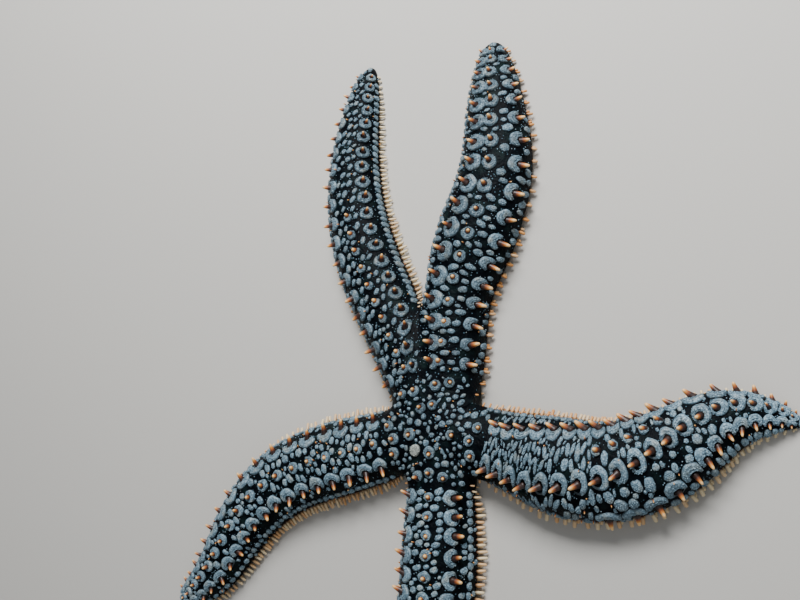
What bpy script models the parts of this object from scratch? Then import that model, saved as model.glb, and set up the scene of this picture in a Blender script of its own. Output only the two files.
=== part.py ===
"""A spiny starfish with five arms, life size, at rest on a flat surface with its mouth side down.

Each arm is one ridge, D-shaped in section, that follows its own midline over the floor. Neighbouring ridges
meet on the upright plane that halves the angle between them, and what they make together at the middle is
the disc. The skeleton's plates run along an arm in rows and the mesh follows them, so that each plate which
carries a spine is one face, and its spine grows out of that face. Thin cuts part the body into nodes.

Sizes are in metres. The world origin lies on the floor, below the middle of the whole animal.
"""

import math
from dataclasses import dataclass

import bmesh
import bpy
import numpy as np
from mathutils import Vector

# The body's section
BASE_HALF_WIDTH = 0.0140
BASE_HEIGHT = 0.0160
DISC_DOME = 0.0015
MARGIN_SHARE = 0.15
FULLNESS = 0.42
TUCK_SHARE = 0.10
GROOVE_HALF_WIDTH = 0.0034
GROOVE_DEPTH = 0.0044
MOUTH_PIT_RADIUS = 0.0080

# How an arm changes along its length
STEM_LENGTH = 0.047
SWELL_LENGTH = 0.035
DOME_LENGTH = 0.025
TUCK_RAMP = 0.010
WEB_FILLET = 0.0020
WEB_FADE = 0.014
LEAN_START = 0.022
LEAN_RAMP = 0.040

# Where the body is parted
CUT_GAP = 0.0003
DISC_RADIUS = 0.0220
INNER_SHARE = 0.55
EYE_LENGTH = 0.0034

# Rows of plates, counted across an arm from its right margin, and half the width of a row with spines, as a
# share of the way from the crest of the arm to its margin
ROWS = 9
CREST_ROW = 4
UPPER_ROWS = (2, 6)
EDGE_ROWS = (0, 8)
ROW_HALF_WIDTH = 0.11
TIP_SHRINK = 0.45

# Spines
UPPER_SPINE = 0.0048
CREST_SPINE_INNER = 0.0020
CREST_SPINE_OUTER = 0.0040
EDGE_SPINE = 0.0038
SPINE_BASE = 0.0026
EDGE_SPINE_BASE = 0.0021
LEAST_SPINE = 0.0012
EDGE_SPINE_RISE = math.radians(2)

# The small separate pieces
MADREPORITE_RADIUS = 0.0025
MADREPORITE_HEIGHT = 0.0016
MADREPORITE_REACH = 0.0105
MADREPORITE_SINK = 0.0006
MOUTH_RADIUS = 0.0026
MOUTH_FLOOR = 0.0008
MOUTH_HEIGHT = 0.0014

# Where the arms lie: the first heading in degrees, then the angles between arms, counter-clockwise
FIRST_HEADING = -86.5
WIDE_GAP = 100.0
NARROW_GAP = 33.5
OTHER_GAP = (360.0 - WIDE_GAP - NARROW_GAP) / 3
GAPS = (WIDE_GAP, NARROW_GAP, OTHER_GAP, OTHER_GAP, OTHER_GAP)


@dataclass(frozen=True)
class Row:
    """Where a row of large spines runs: straight from the share near, at start, to the share far, at end.

    A share is 0 at the crest of the arm, 1 at its left margin and -1 at its right one.
    """

    near: float
    far: float
    start: float = 0.0
    end: float = 1.0

    def at(self, s):
        return float(np.interp(s, (self.start, self.end), (self.near, self.far)))


def level_rows(*shares):
    """Rows that keep their share all along the arm."""
    return tuple(Row(share, share) for share in shares)


@dataclass(frozen=True)
class ArmPlan:
    """One arm: its length and girth, its rows of plates, the lean of its crest in degrees and its bends."""

    name: str
    length: float
    girth: float
    slimming: float  # how soon it narrows towards the tip
    bluntness: float  # the larger it is, the longer the arm stays thick before it narrows
    plates: int
    stretch: float  # how much longer a plate is halfway along the arm than next to the disc
    rows: tuple  # the rows of large spines: the right one, the one between and the left one
    lean: float
    bends: tuple  # each (start, end, degrees), with a positive turn to the left


ARM_PLANS = (
    ArmPlan("arm_1", 0.139, 1.33, 1.00, 2.8, 20, 0.50,
            (Row(-0.40, 0.34, 0.040, 0.125), Row(0.00, 0.54, 0.040, 0.110), Row(0.36, 0.78, 0.030, 0.085)), 4.0,
            ((0.039, 0.105, 51.0), (0.095, 0.141, -55.0))),
    ArmPlan("arm_2", 0.158, 1.27, 0.46, 2.0, 17, 0.45, level_rows(-0.53, 0.0, 0.34), -8.5,
            ((0.041, 0.071, -15.0), (0.084, 0.122, 25.0))),
    ArmPlan("arm_3", 0.164, 1.05, 0.50, 2.0, 20, 0.10, level_rows(-0.42, 0.0, 0.44), -3.5,
            ((0.052, 0.150, -36.0),)),
    ArmPlan("arm_4", 0.151, 1.13, 0.52, 2.0, 18, 0.25, level_rows(-0.43, 0.0, 0.43), 0.0,
            ((0.045, 0.120, 46.0), (0.110, 0.150, -30.0))),
    ArmPlan("arm_5", 0.148, 1.13, 0.52, 2.0, 18, 0.25, level_rows(-0.45, 0.0, 0.45), 0.0,
            ((0.045, 0.100, -34.0), (0.095, 0.145, 40.0))),
)

SKIN_COLOUR = (0.020, 0.040, 0.042, 1.0)
SPINE_COLOUR = (0.480, 0.170, 0.035, 1.0)
EYE_COLOUR = (0.350, 0.045, 0.020, 1.0)
MADREPORITE_COLOUR = (0.420, 0.440, 0.400, 1.0)
MOUTH_COLOUR = (0.520, 0.400, 0.280, 1.0)


def smooth(x):
    """0 below 0, 1 above 1 and an S-shaped rise between them."""
    x = np.clip(x, 0.0, 1.0)
    return x * x * (3.0 - 2.0 * x)


class Arm:
    """An arm's midline, and the size of its section at a distance s from the middle of the disc."""

    STEPS = 400

    def __init__(self, plan, heading, left_gap, right_gap):
        self.plan = plan
        self.tangents = {1: math.tan(math.radians(left_gap) / 2), -1: math.tan(math.radians(right_gap) / 2)}
        self.heading = math.radians(heading)
        self.swell_start = max(self.notch(1), self.notch(-1))
        self.table = np.linspace(0.0, plan.length, self.STEPS + 1)
        self.angles = np.full(self.table.shape, self.heading)
        for start, end, turn in plan.bends:
            self.angles += math.radians(turn) * smooth((self.table - start) / (end - start))
        step = self.table[1]
        middle = (self.angles[1:] + self.angles[:-1]) / 2
        self.xs = np.concatenate([[0.0], np.cumsum(np.cos(middle)) * step])
        self.ys = np.concatenate([[0.0], np.cumsum(np.sin(middle)) * step])

    def taper(self, s):
        """The arm's size as a share of what it is at the disc: whole, then falling to a blunt tip."""
        share = max(0.0, s - STEM_LENGTH) / (self.plan.length - STEM_LENGTH)
        return (1.0 - min(share, 1.0) ** self.plan.bluntness) ** self.plan.slimming

    def swell(self, s):
        """How far the arm, once both of its margins are free, has grown to its own girth."""
        return float(smooth((s - self.swell_start) / SWELL_LENGTH))

    def half_width(self, s):
        return BASE_HALF_WIDTH * (1.0 + (self.plan.girth - 1.0) * self.swell(s)) * self.taper(s)

    def height(self, s):
        dome = DISC_DOME * (1.0 - float(smooth(s / DOME_LENGTH)))
        girth = 1.0 + 0.6 * (self.plan.girth - 1.0) * self.swell(s)
        return (BASE_HEIGHT * girth + dome) * self.taper(s) ** 0.9

    def limit(self, side, s, gap):
        """How far the arm may reach to this side, 1 for the left, before it meets its neighbour."""
        tangent = self.tangents[side]
        return s * tangent - gap * math.hypot(1.0, tangent)

    def notch(self, side):
        """The distance at which the arm's margin comes clear of its neighbour's."""
        return BASE_HALF_WIDTH / self.tangents[side]

    def reach(self, side, s, gap):
        return max(0.0, min(self.half_width(s), self.limit(side, s, gap)))

    def place(self, s, across, z):
        """The point at s along the midline, across to its left, at height z."""
        angle = np.interp(s, self.table, self.angles)
        x = np.interp(s, self.table, self.xs) - across * math.sin(angle)
        y = np.interp(s, self.table, self.ys) + across * math.cos(angle)
        return Vector((x, y, z))

    def direction(self, s, along, left, up):
        angle = np.interp(s, self.table, self.angles)
        forward = Vector((math.cos(angle), math.sin(angle), 0.0))
        sideways = Vector((-math.sin(angle), math.cos(angle), 0.0))
        return (forward * along + sideways * left + Vector((0.0, 0.0, up))).normalized()

    def top_height(self, s, across):
        """The height of the spiny side, with the corner against a neighbour filled out to a rounded web."""
        tangent = self.tangents[1 if across > 0 else -1]
        slant = math.hypot(1.0, tangent)
        away = max(0.0, (s * tangent - abs(across)) / slant)
        fillet = WEB_FILLET * (1.0 - float(smooth((s - BASE_HALF_WIDTH / tangent) / WEB_FADE)))
        across = max(0.0, abs(across) - (math.hypot(away, fillet) - away) * slant)
        share = min(across / max(self.half_width(s), 1e-9), 1.0)
        height = self.height(s)
        margin = MARGIN_SHARE * height
        return margin + (height - margin) * (1.0 - share * share) ** FULLNESS

    def row_lines(self, s):
        """The shares at which the rows of plates meet at s, from the right margin to the left one."""
        right, crest, left = (row.at(s) for row in self.plan.rows)
        half = ROW_HALF_WIDTH
        slim = min(half, 0.4 * (left - half - crest), 0.4 * (crest - right - half))
        outer_right, outer_left = (right - half - 1.0) / 2, (left + half + 1.0) / 2
        middle = (right - half, right + half, crest - slim, crest + slim, left - half, left + half)
        return (-1.0, outer_right, *middle, outer_left, 1.0)

    def row_across(self, line, s, gap):
        """Where the line between two rows of plates lies, across the arm. The crest may lean to one side."""
        reach = self.reach(1 if line > 0 else -1, s, gap)
        widest = math.asin(min(reach / max(self.half_width(s), 1e-9), 1.0))
        lean = math.radians(self.plan.lean) * float(smooth((s - LEAN_START) / LEAN_RAMP))
        return self.half_width(s) * math.sin(lean * (1.0 - line * line) + line * widest)

    def groove_height(self, s, across):
        """How high the mouth side lies over the floor: the tube feet's groove, and the pit round the mouth."""
        width = min(GROOVE_HALF_WIDTH, 0.3 * self.half_width(s))
        depth = min(GROOVE_DEPTH, 0.3 * self.height(s))
        groove = depth * max(0.0, 1.0 - abs(across) / max(width, 1e-9))
        pit = GROOVE_DEPTH * max(0.0, 1.0 - math.hypot(s, across) / MOUTH_PIT_RADIUS)
        return max(groove, pit)

    def section(self, s, gap):
        """The points round the arm at s: over its top from right to left, then back under it."""
        top = [self.row_across(line, s, gap) for line in self.row_lines(s)]
        points = [self.place(s, across, self.top_height(s, across)) for across in top]
        for side in (1, -1):
            tuck = TUCK_SHARE * float(smooth((s - self.notch(side)) / TUCK_RAMP))
            foot = side * self.reach(side, s, gap) * (1.0 - tuck)
            edge = side * min(GROOVE_HALF_WIDTH, 0.3 * self.half_width(s), abs(foot))
            pair = [(foot, self.groove_height(s, foot)), (edge, self.groove_height(s, edge))]
            if side == 1:
                pair.append((0.0, self.groove_height(s, 0.0)))
            for across, z in pair if side == 1 else reversed(pair):
                points.append(self.place(s, across, z))
        return points

    def plate_lines(self):
        """Where the lines between plates cross the arm: plates are longest halfway and short at the tip."""
        first, last = DISC_RADIUS + CUT_GAP, self.plan.length - EYE_LENGTH - CUT_GAP
        share = np.linspace(0.0, 1.0, self.STEPS)
        pitch = (1.0 + self.plan.stretch * np.sin(math.pi * share)) * (1.0 - TIP_SHRINK * share**3)
        passed = np.cumsum(pitch) - pitch[0]
        plates = np.linspace(0.0, 1.0, self.plan.plates + 1)
        return first + (last - first) * np.interp(plates, share, passed / passed[-1])


def make_arms():
    """The five arms, each with its heading and the angles to its two neighbours."""
    headings = [FIRST_HEADING + sum(GAPS[:k]) for k in range(len(GAPS))]
    return [Arm(plan, headings[k], GAPS[k], GAPS[k - 1]) for k, plan in enumerate(ARM_PLANS)]


def make_material(name, colour, roughness):
    material = bpy.data.materials.new(name)
    material.use_nodes = True
    shader = material.node_tree.nodes["Principled BSDF"]
    shader.inputs["Base Color"].default_value = colour
    shader.inputs["Roughness"].default_value = roughness
    return material


def make_object(name, bm, materials, parent):
    mesh = bpy.data.meshes.new(name)
    bm.to_mesh(mesh)
    bm.free()
    for material in materials:
        mesh.materials.append(material)
    made = bpy.data.objects.new(name, mesh)
    made.parent = parent
    parent.users_collection[0].objects.link(made)
    return made


def grow_spine(bm, face, base, length, direction):
    """Narrows a plate's face to the spine's base and draws its middle out to the spine's tip."""
    shortest = min(edge.calc_length() for edge in face.edges)
    inset = max((shortest - base) / 2, 0.12 * shortest)
    bmesh.ops.inset_individual(bm, faces=[face], thickness=inset, use_even_offset=True)
    foot = face.calc_center_median()
    poked = bmesh.ops.poke(bm, faces=[face])
    poked["verts"][0].co = foot + direction * length
    for side in poked["faces"]:
        side.material_index = 1


def add_spines(bm, arm, plates, gap):
    """Spines on the plates of one arm. plates maps (row, s at the plate's middle) to its face."""
    for (row, s), face in plates.items():
        normal = face.normal.copy()
        if row in UPPER_ROWS:
            length, base = UPPER_SPINE * arm.taper(s) ** 0.5, SPINE_BASE
        elif row == CREST_ROW:
            grown = float(smooth(1.6 * s / arm.plan.length - 0.4))
            length = CREST_SPINE_INNER + (CREST_SPINE_OUTER - CREST_SPINE_INNER) * grown
            length, base = length * arm.taper(s) ** 0.5, SPINE_BASE
        else:
            side = 1 if row > CREST_ROW else -1
            normal = arm.direction(s, 0.0, side * math.cos(EDGE_SPINE_RISE), math.sin(EDGE_SPINE_RISE))
            room = arm.limit(side, s, gap) - arm.half_width(s)
            length, base = min(EDGE_SPINE * arm.taper(s) ** 0.4, room * 0.75 - CUT_GAP), EDGE_SPINE_BASE
            if s - arm.notch(side) < TUCK_RAMP / 2:
                continue
        if length >= LEAST_SPINE:
            grow_spine(bm, face, base * arm.taper(s) ** 0.5, length, normal)


def loft(bm, sections, walls):
    """Faces between successive sections. walls(side, i) says whether the arm has its own side there.

    Returns the faces of the top as {(row, i): face}.
    """
    rings = [[bm.verts.new(point) for point in section] for section in sections]
    count = len(rings[0])
    tops = {}
    for i, (near, far) in enumerate(zip(rings, rings[1:])):
        for j in range(count):
            side = {ROWS: 1, count - 1: -1}.get(j)
            if side is not None and not walls(side, i):
                continue
            following = (j + 1) % count
            face = bm.faces.new((near[j], far[j], far[following], near[following]))
            if j < ROWS:
                tops[j, i] = face
    return rings, tops


def make_length(name, arm, lines, materials, parent, gap=CUT_GAP / 2, spined=True):
    """One closed length of an arm, between cuts at the first and the last of its lines."""
    bm = bmesh.new()
    rings, tops = loft(bm, [arm.section(s, gap) for s in lines], lambda side, i: True)
    bm.faces.new(rings[0])
    bm.faces.new(reversed(rings[-1]))
    bmesh.ops.remove_doubles(bm, verts=bm.verts, dist=2e-5)
    bmesh.ops.recalc_face_normals(bm, faces=bm.faces)
    if spined:
        spine_rows = (CREST_ROW, *UPPER_ROWS, *EDGE_ROWS)
        plates = {(j, (lines[i] + lines[i + 1]) / 2): face for (j, i), face in tops.items() if j in spine_rows}
        add_spines(bm, arm, plates, gap)
    return make_object(name, bm, materials, parent)


def make_disc(arms, materials, parent):
    """The disc: the innermost stretch of every arm, sewn together where two neighbours meet."""
    notches = {round(arm.notch(side), 5) for arm in arms for side in (1, -1)}
    lines = sorted({0.0, 0.0045, 0.0090, DISC_RADIUS} | {s for s in notches if s < DISC_RADIUS})
    bm = bmesh.new()
    spined = []
    for arm in arms:

        def own_wall(side, i, arm=arm):
            return lines[i] > arm.notch(side) - 1e-4

        rings, tops = loft(bm, [arm.section(s, 0.0) for s in lines], own_wall)
        bm.faces.new(reversed(rings[-1]))
        last = len(lines) - 2
        spined += [(arm, tops[j, last], (lines[-1] + lines[-2]) / 2) for j in UPPER_ROWS]
        spined += [(arm, tops[CREST_ROW, i], (lines[i] + lines[i + 1]) / 2) for i in (1, last)]
    bmesh.ops.remove_doubles(bm, verts=bm.verts, dist=2e-5)
    bmesh.ops.recalc_face_normals(bm, faces=bm.faces)
    for arm, face, s in spined:
        grow_spine(bm, face, SPINE_BASE, UPPER_SPINE * 0.8, face.normal.copy())
    return make_object("disc", bm, materials, parent)


def make_madreporite(arms, disc, material, parent, cutters):
    """The sieve plate: a low button in a pocket of the disc, between the last arm and the fourth."""
    arm = arms[4]
    angle = arm.heading - math.atan(arm.tangents[-1])
    across = -MADREPORITE_REACH * math.sin(angle - arm.heading)
    s = MADREPORITE_REACH * math.cos(angle - arm.heading)
    foot = Vector((math.cos(angle), math.sin(angle), 0.0)) * MADREPORITE_REACH
    foot.z = arm.top_height(s, across)
    outward = Vector((math.cos(angle), math.sin(angle), 2.2)).normalized()
    turn = outward.to_track_quat("Z", "Y")

    def drum(name, radius, low, high, holder):
        bpy.ops.mesh.primitive_cylinder_add(vertices=20, radius=radius, depth=high - low)
        made = bpy.context.object
        made.name = name
        made.rotation_mode = "QUATERNION"
        made.rotation_quaternion = turn
        made.location = foot + outward * ((low + high) / 2)
        made.parent = parent
        for old in made.users_collection:
            old.objects.unlink(made)
        holder.objects.link(made)
        return made

    low = -MADREPORITE_SINK - MADREPORITE_HEIGHT / 2
    button = drum("madreporite", MADREPORITE_RADIUS, low, low + MADREPORITE_HEIGHT, parent.users_collection[0])
    button.data.materials.append(material)
    rounding = button.modifiers.new("rounded rim", "BEVEL")
    rounding.width = 0.0004
    rounding.segments = 2
    pocket = drum("madreporite_pocket", MADREPORITE_RADIUS + CUT_GAP, low - CUT_GAP, 0.010, cutters)
    pocket.hide_render = True
    pocket.display_type = "WIRE"
    cut = disc.modifiers.new("pocket", "BOOLEAN")
    cut.operation = "DIFFERENCE"
    cut.object = pocket


def make_mouth(material, parent):
    """The skin round the mouth, a thin round pad in the pit below the disc."""
    bpy.ops.mesh.primitive_cylinder_add(vertices=20, radius=MOUTH_RADIUS, depth=MOUTH_HEIGHT)
    mouth = bpy.context.object
    mouth.name = "mouth"
    mouth.location.z = MOUTH_FLOOR + MOUTH_HEIGHT / 2
    mouth.parent = parent
    mouth.data.materials.append(material)
    for old in mouth.users_collection:
        old.objects.unlink(mouth)
    parent.users_collection[0].objects.link(mouth)


def make_eye(arm, materials, parent):
    """The last plate of an arm, which carries its eyespot."""
    start = arm.plan.length - EYE_LENGTH
    lines = [start + EYE_LENGTH * share for share in (0.0, 0.45, 0.78, 0.94, 0.99)]
    make_length(arm.plan.name + "_eye", arm, lines, materials, parent, spined=False)


def centre_on_floor(root):
    """Moves the whole animal so that the world origin is below the middle of its box."""
    bpy.context.view_layer.update()
    shown = [o for o in root.children if not o.hide_render]
    corners = np.array([o.matrix_world @ Vector(c) for o in shown for c in o.bound_box])
    middle = (corners.min(axis=0) + corners.max(axis=0)) / 2
    root.location = (-middle[0], -middle[1], -corners[:, 2].min())


def main():
    for old in list(bpy.data.objects):
        bpy.data.objects.remove(old)
    body = bpy.data.collections.new("starfish")
    cutters = bpy.data.collections.new("cutters")
    for collection in (body, cutters):
        bpy.context.scene.collection.children.link(collection)
    root = bpy.data.objects.new("starfish_root", None)
    body.objects.link(root)

    skin = make_material("skin", SKIN_COLOUR, 0.55)
    spine = make_material("spine", SPINE_COLOUR, 0.40)
    eye = make_material("eyespot", EYE_COLOUR, 0.35)

    arms = make_arms()
    disc = make_disc(arms, (skin, spine), root)
    for arm in arms:
        lines = arm.plate_lines()
        middle = int(np.argmin(np.abs(lines - INNER_SHARE * arm.plan.length)))
        inner, outer = lines[: middle + 1], lines[middle:].copy()
        outer[0] += CUT_GAP
        make_length(arm.plan.name + "_inner", arm, inner, (skin, spine), root)
        make_length(arm.plan.name + "_outer", arm, outer, (skin, spine), root)
        make_eye(arm, (eye,), root)
    make_madreporite(arms, disc, make_material("madreporite", MADREPORITE_COLOUR, 0.6), root, cutters)
    make_mouth(make_material("mouth", MOUTH_COLOUR, 0.5), root)
    centre_on_floor(root)


main()
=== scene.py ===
"""The finished surface of a life-size model of a spiny starfish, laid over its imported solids.

One skin covers the disc and the arms. On it stand the animal's pads of tiny pincers, rings of them round the
large spines, the spines, the combs along the edges and, below, the spines and tube feet of the grooves. Every
small piece is a grid of points that is bent to follow the skin where it stands.

All lengths are in metres and all angles in radians, unless a name says otherwise. Every surface is worked out
in the arms' own places: s is the distance along an arm's midline, across is the distance to its left, and a
share runs from the crest, 0, to the left margin, 1, or the right one, -1.
"""

import logging
import math
from collections.abc import Callable
from dataclasses import dataclass
from enum import Enum
from functools import partial

import bmesh
import bpy
import numpy as np
from mathutils import Matrix, Vector

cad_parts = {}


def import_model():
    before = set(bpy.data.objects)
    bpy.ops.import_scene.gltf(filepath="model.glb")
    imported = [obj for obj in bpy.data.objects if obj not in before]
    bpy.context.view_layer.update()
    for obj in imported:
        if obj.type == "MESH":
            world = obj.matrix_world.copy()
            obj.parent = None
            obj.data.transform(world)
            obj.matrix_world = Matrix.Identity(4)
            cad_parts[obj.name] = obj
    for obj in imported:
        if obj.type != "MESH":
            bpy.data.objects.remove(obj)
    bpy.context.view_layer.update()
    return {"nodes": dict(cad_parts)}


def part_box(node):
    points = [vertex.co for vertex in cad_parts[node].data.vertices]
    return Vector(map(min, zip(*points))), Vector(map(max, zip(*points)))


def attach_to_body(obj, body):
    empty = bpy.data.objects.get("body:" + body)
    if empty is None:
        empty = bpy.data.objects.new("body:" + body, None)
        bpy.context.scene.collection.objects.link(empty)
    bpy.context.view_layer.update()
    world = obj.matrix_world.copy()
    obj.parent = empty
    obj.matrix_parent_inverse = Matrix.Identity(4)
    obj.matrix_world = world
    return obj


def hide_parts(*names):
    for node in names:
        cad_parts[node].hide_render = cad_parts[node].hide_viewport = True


Array = np.ndarray
Material = bpy.types.Material
Tree = bpy.types.NodeTree
Socket = bpy.types.NodeSocket
Pair = tuple[float, float]
"""A value near the disc and the same value towards the tip."""

LOG = logging.getLogger("starfish")
RNG = np.random.default_rng(20)
"""The source of all small differences, which the pieces draw from in the order in which main builds them."""
MM = 0.001
TAU = 2 * math.pi
UP = np.array([0.0, 0.0, 1.0])
BAKE_MAP = "OFBake"
ROUGH_PATCH = 0.003
"""How wide a tuft's patch is on the map that the colours are kept by."""

# The section of the body, as in the solids, and how far the skin lies inside them
SKIN_DEPTH = 0.8 * MM
BASE_HALF_WIDTH = 14.0 * MM - SKIN_DEPTH
BASE_HEIGHT = 16.0 * MM - SKIN_DEPTH
DISC_DOME = 1.5 * MM
MARGIN_SHARE = 0.15
FULLNESS = 0.42
TUCK_SHARE = 0.10
TUCK_RAMP = 10.0 * MM
WEB_FILLET = 2.0 * MM
WEB_FADE = 14.0 * MM
SOLE = 1.3 * MM
GROOVE_HALF_WIDTH = 3.4 * MM
GROOVE_DEPTH = 4.0 * MM
MOUTH_PIT_RADIUS = 8.0 * MM

# How an arm changes along its length, as in the solids
STEM_LENGTH = 47.0 * MM
SWELL_LENGTH = 35.0 * MM
DOME_LENGTH = 25.0 * MM
LEAN_START = 22.0 * MM
LEAN_RAMP = 40.0 * MM
DISC_RADIUS = 22.0 * MM
TIP_LENGTH = 3.7 * MM
TIP_SHRINK = 0.45
FIRST_HEADING_DEGREES = -86.5
GAPS_DEGREES = (100.0, 33.5, 75.5, 75.5, 75.5)


def linear(hex_colour: str) -> tuple[float, float, float, float]:
    """Turns an sRGB colour such as "#8fa3ab" to linear red, green and blue, and an alpha of 1."""
    channels = (int(hex_colour[i : i + 2], 16) / 255 for i in (1, 3, 5))
    return (*(c / 12.92 if c <= 0.04045 else ((c + 0.055) / 1.055) ** 2.4 for c in channels), 1.0)


def mm(near: float, far: float) -> Pair:
    """A pair of lengths that are given in millimetres."""
    return near * MM, far * MM


def smooth(x: Array) -> Array:
    """0 below 0, 1 above 1 and the S-shaped rise 3x^2 - 2x^3 between them."""
    x = np.clip(x, 0.0, 1.0)
    return x * x * (3.0 - 2.0 * x)


def blend(pair: Pair, share: Array) -> Array:
    """The value a share of the way from the first of a pair to the second."""
    return pair[0] + (pair[1] - pair[0]) * share


def unit(vectors: Array) -> Array:
    """The same vectors, each divided by its own length."""
    return vectors / np.maximum(np.linalg.norm(vectors, axis=-1, keepdims=True), 1e-12)


def circle(count: int) -> Array:
    """Evenly spaced directions, a full turn without its end."""
    return np.linspace(0, TAU, count, endpoint=False)


def middle_of(box: tuple) -> Array:
    """The middle of a box, which is given by its low and its high corner."""
    return (np.array(box[0]) + np.array(box[1])) / 2


def with_poles(rows: Array, low: float | Array = 0.0, high: float | Array = 0.0) -> Array:
    """Small pieces' values, as pieces by points: those of their rows, then those of their two poles."""
    rows = rows.reshape(len(rows), -1)
    return np.column_stack([rows, *(np.broadcast_to(pole, len(rows)) for pole in (low, high))])


def ripple(points: Array, wavelength: float, seed: int, waves: int = 10) -> Array:
    """Smooth uneven swelling: the mean of plane sine waves that run in random directions.

    Args:
        points: places, with x, y and z in the last axis.
        wavelength: the mean length of a wave.
        seed: picks the waves.
        waves: how many there are.

    Returns:
        A number from about -1 to 1 for each place.
    """
    rng = np.random.default_rng(seed)
    directions = unit(rng.normal(size=(waves, 3))) * rng.uniform(0.7, 1.4, (waves, 1))
    phases = rng.uniform(0, TAU, waves)
    return np.sin(points @ directions.T * (TAU / wavelength) + phases).mean(axis=-1) * 1.8


# --- What the arms are like ---


@dataclass(frozen=True)
class Bend:
    """A stretch of an arm that turns, to the left if degrees is positive."""

    start: float
    end: float
    degrees: float


@dataclass(frozen=True)
class RingRow:
    """How the rings of pads along one row look."""

    line: Pair
    """The share at which the row runs."""
    along: Pair
    """A ring's length along the arm, as a share of a plate's."""
    across: Pair
    """A ring's width across the arm."""
    span: Pair = (0.0, 1.0)
    """The distances between which the row goes over from its first share to its last."""
    reach: Pair = (0.0, 1.0)
    """The distances between which the row has rings."""
    hole: Pair = (0.36, 0.36)
    """The width of the hole as a share of the ring's."""
    gap: Pair = (0.7, 0.7)
    """How far the ring is open on its outer side, from 0, whole, to 1."""
    shift: Pair = (0.12, 0.12)
    """How far the hole lies towards the opening, as a share of the ring's half size."""
    tilt: Pair = (0.0, 0.0)
    """How far the opening turns from straight outwards towards the disc."""
    lean: Pair = (0.45, 0.45)
    """How far its spines lean outwards from straight up off the skin."""
    sway: Pair = (0.0, 0.0)
    """How far its spines lean towards the tip."""
    spine: Pair = (1.0, 1.0)
    """How large its spines are, as a share of the usual."""
    ripeness: Pair = (0.0, 0.0)
    """How much more of its spines is orange than usual, or less if negative."""

    def share_at(self, s: Array) -> Array:
        """The share at which the row runs at s along the arm."""
        return np.interp(s, self.span, self.line)


@dataclass(frozen=True)
class Comb:
    """How the spines along one edge of an arm look."""

    pitch: float
    """The distance from one spine to the next."""
    paleness: Pair
    """How pale they are, from 0, orange, to 1, cream."""
    length: Pair = (1.0, 1.0)
    """How long they are, as a share of the usual."""
    girth: float = 1.0
    """How thick they are, as a share of the usual."""
    stagger: float = 0.15
    """How far the lower row lies behind the upper one, as a share of the pitch."""


@dataclass(frozen=True)
class ArmPlan:
    """One arm: its shape, as in the solids, and how its pads are laid out."""

    name: str
    length: float
    girth: float
    slimming: float
    """How soon the arm narrows towards its tip."""
    bluntness: float
    """How long it stays thick before it narrows: the power of the distance in its taper."""
    plates: int
    stretch: float
    """How much longer the plates halfway along the arm are than the first ones."""
    lean_degrees: float
    bends: tuple[Bend, ...]
    left: RingRow
    right: RingRow
    crest: RingRow
    pad_size: Pair
    """Half the size of the small pads."""
    slimness: Pair
    """How much wider across the arm than along it the small pads are."""
    left_comb: Comb
    right_comb: Comb
    margin: RingRow | None = None
    """A fourth row of rings, near the right margin, where the arm is turned over to its left."""
    pad_turn: float = 0.0
    """How far the small pads are turned from straight along the arm to its left."""
    pad_gap: float = 0.34 * MM
    smallest_pad: float = 0.55
    """The size of the smallest pads, which fill the last gaps, as a share of the usual."""
    pad_growth: Pair = (1.0, 1.0)
    """How many times longer and how many times wider a pad may grow to fill the room beside it."""
    pad_painted_light_and_shade: Pair = (0.0, 0.0)
    # How much lighter than usual the pads are, near the disc and towards the tip: painted light and shade.
    """How much lighter than usual the pads are."""
    left_flank: Pair = (0.6, 0.6)
    """How densely the left flank, below the large spines, is covered with pads."""
    right_flank: Pair = (0.6, 0.6)
    edge_rows: Pair = (0.80, 0.80)
    """The shares at which rows of pads run above the left and the right edge's spines, 0 for none."""
    edge_size: Pair = (3.2 * MM, 2.8 * MM)
    """The distance from one pad of those rows to the next, and how wide the pads are."""


# Each plan's pad light is painted light and shade: lighter where an arm lies in the light, darker in shade.
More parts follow.
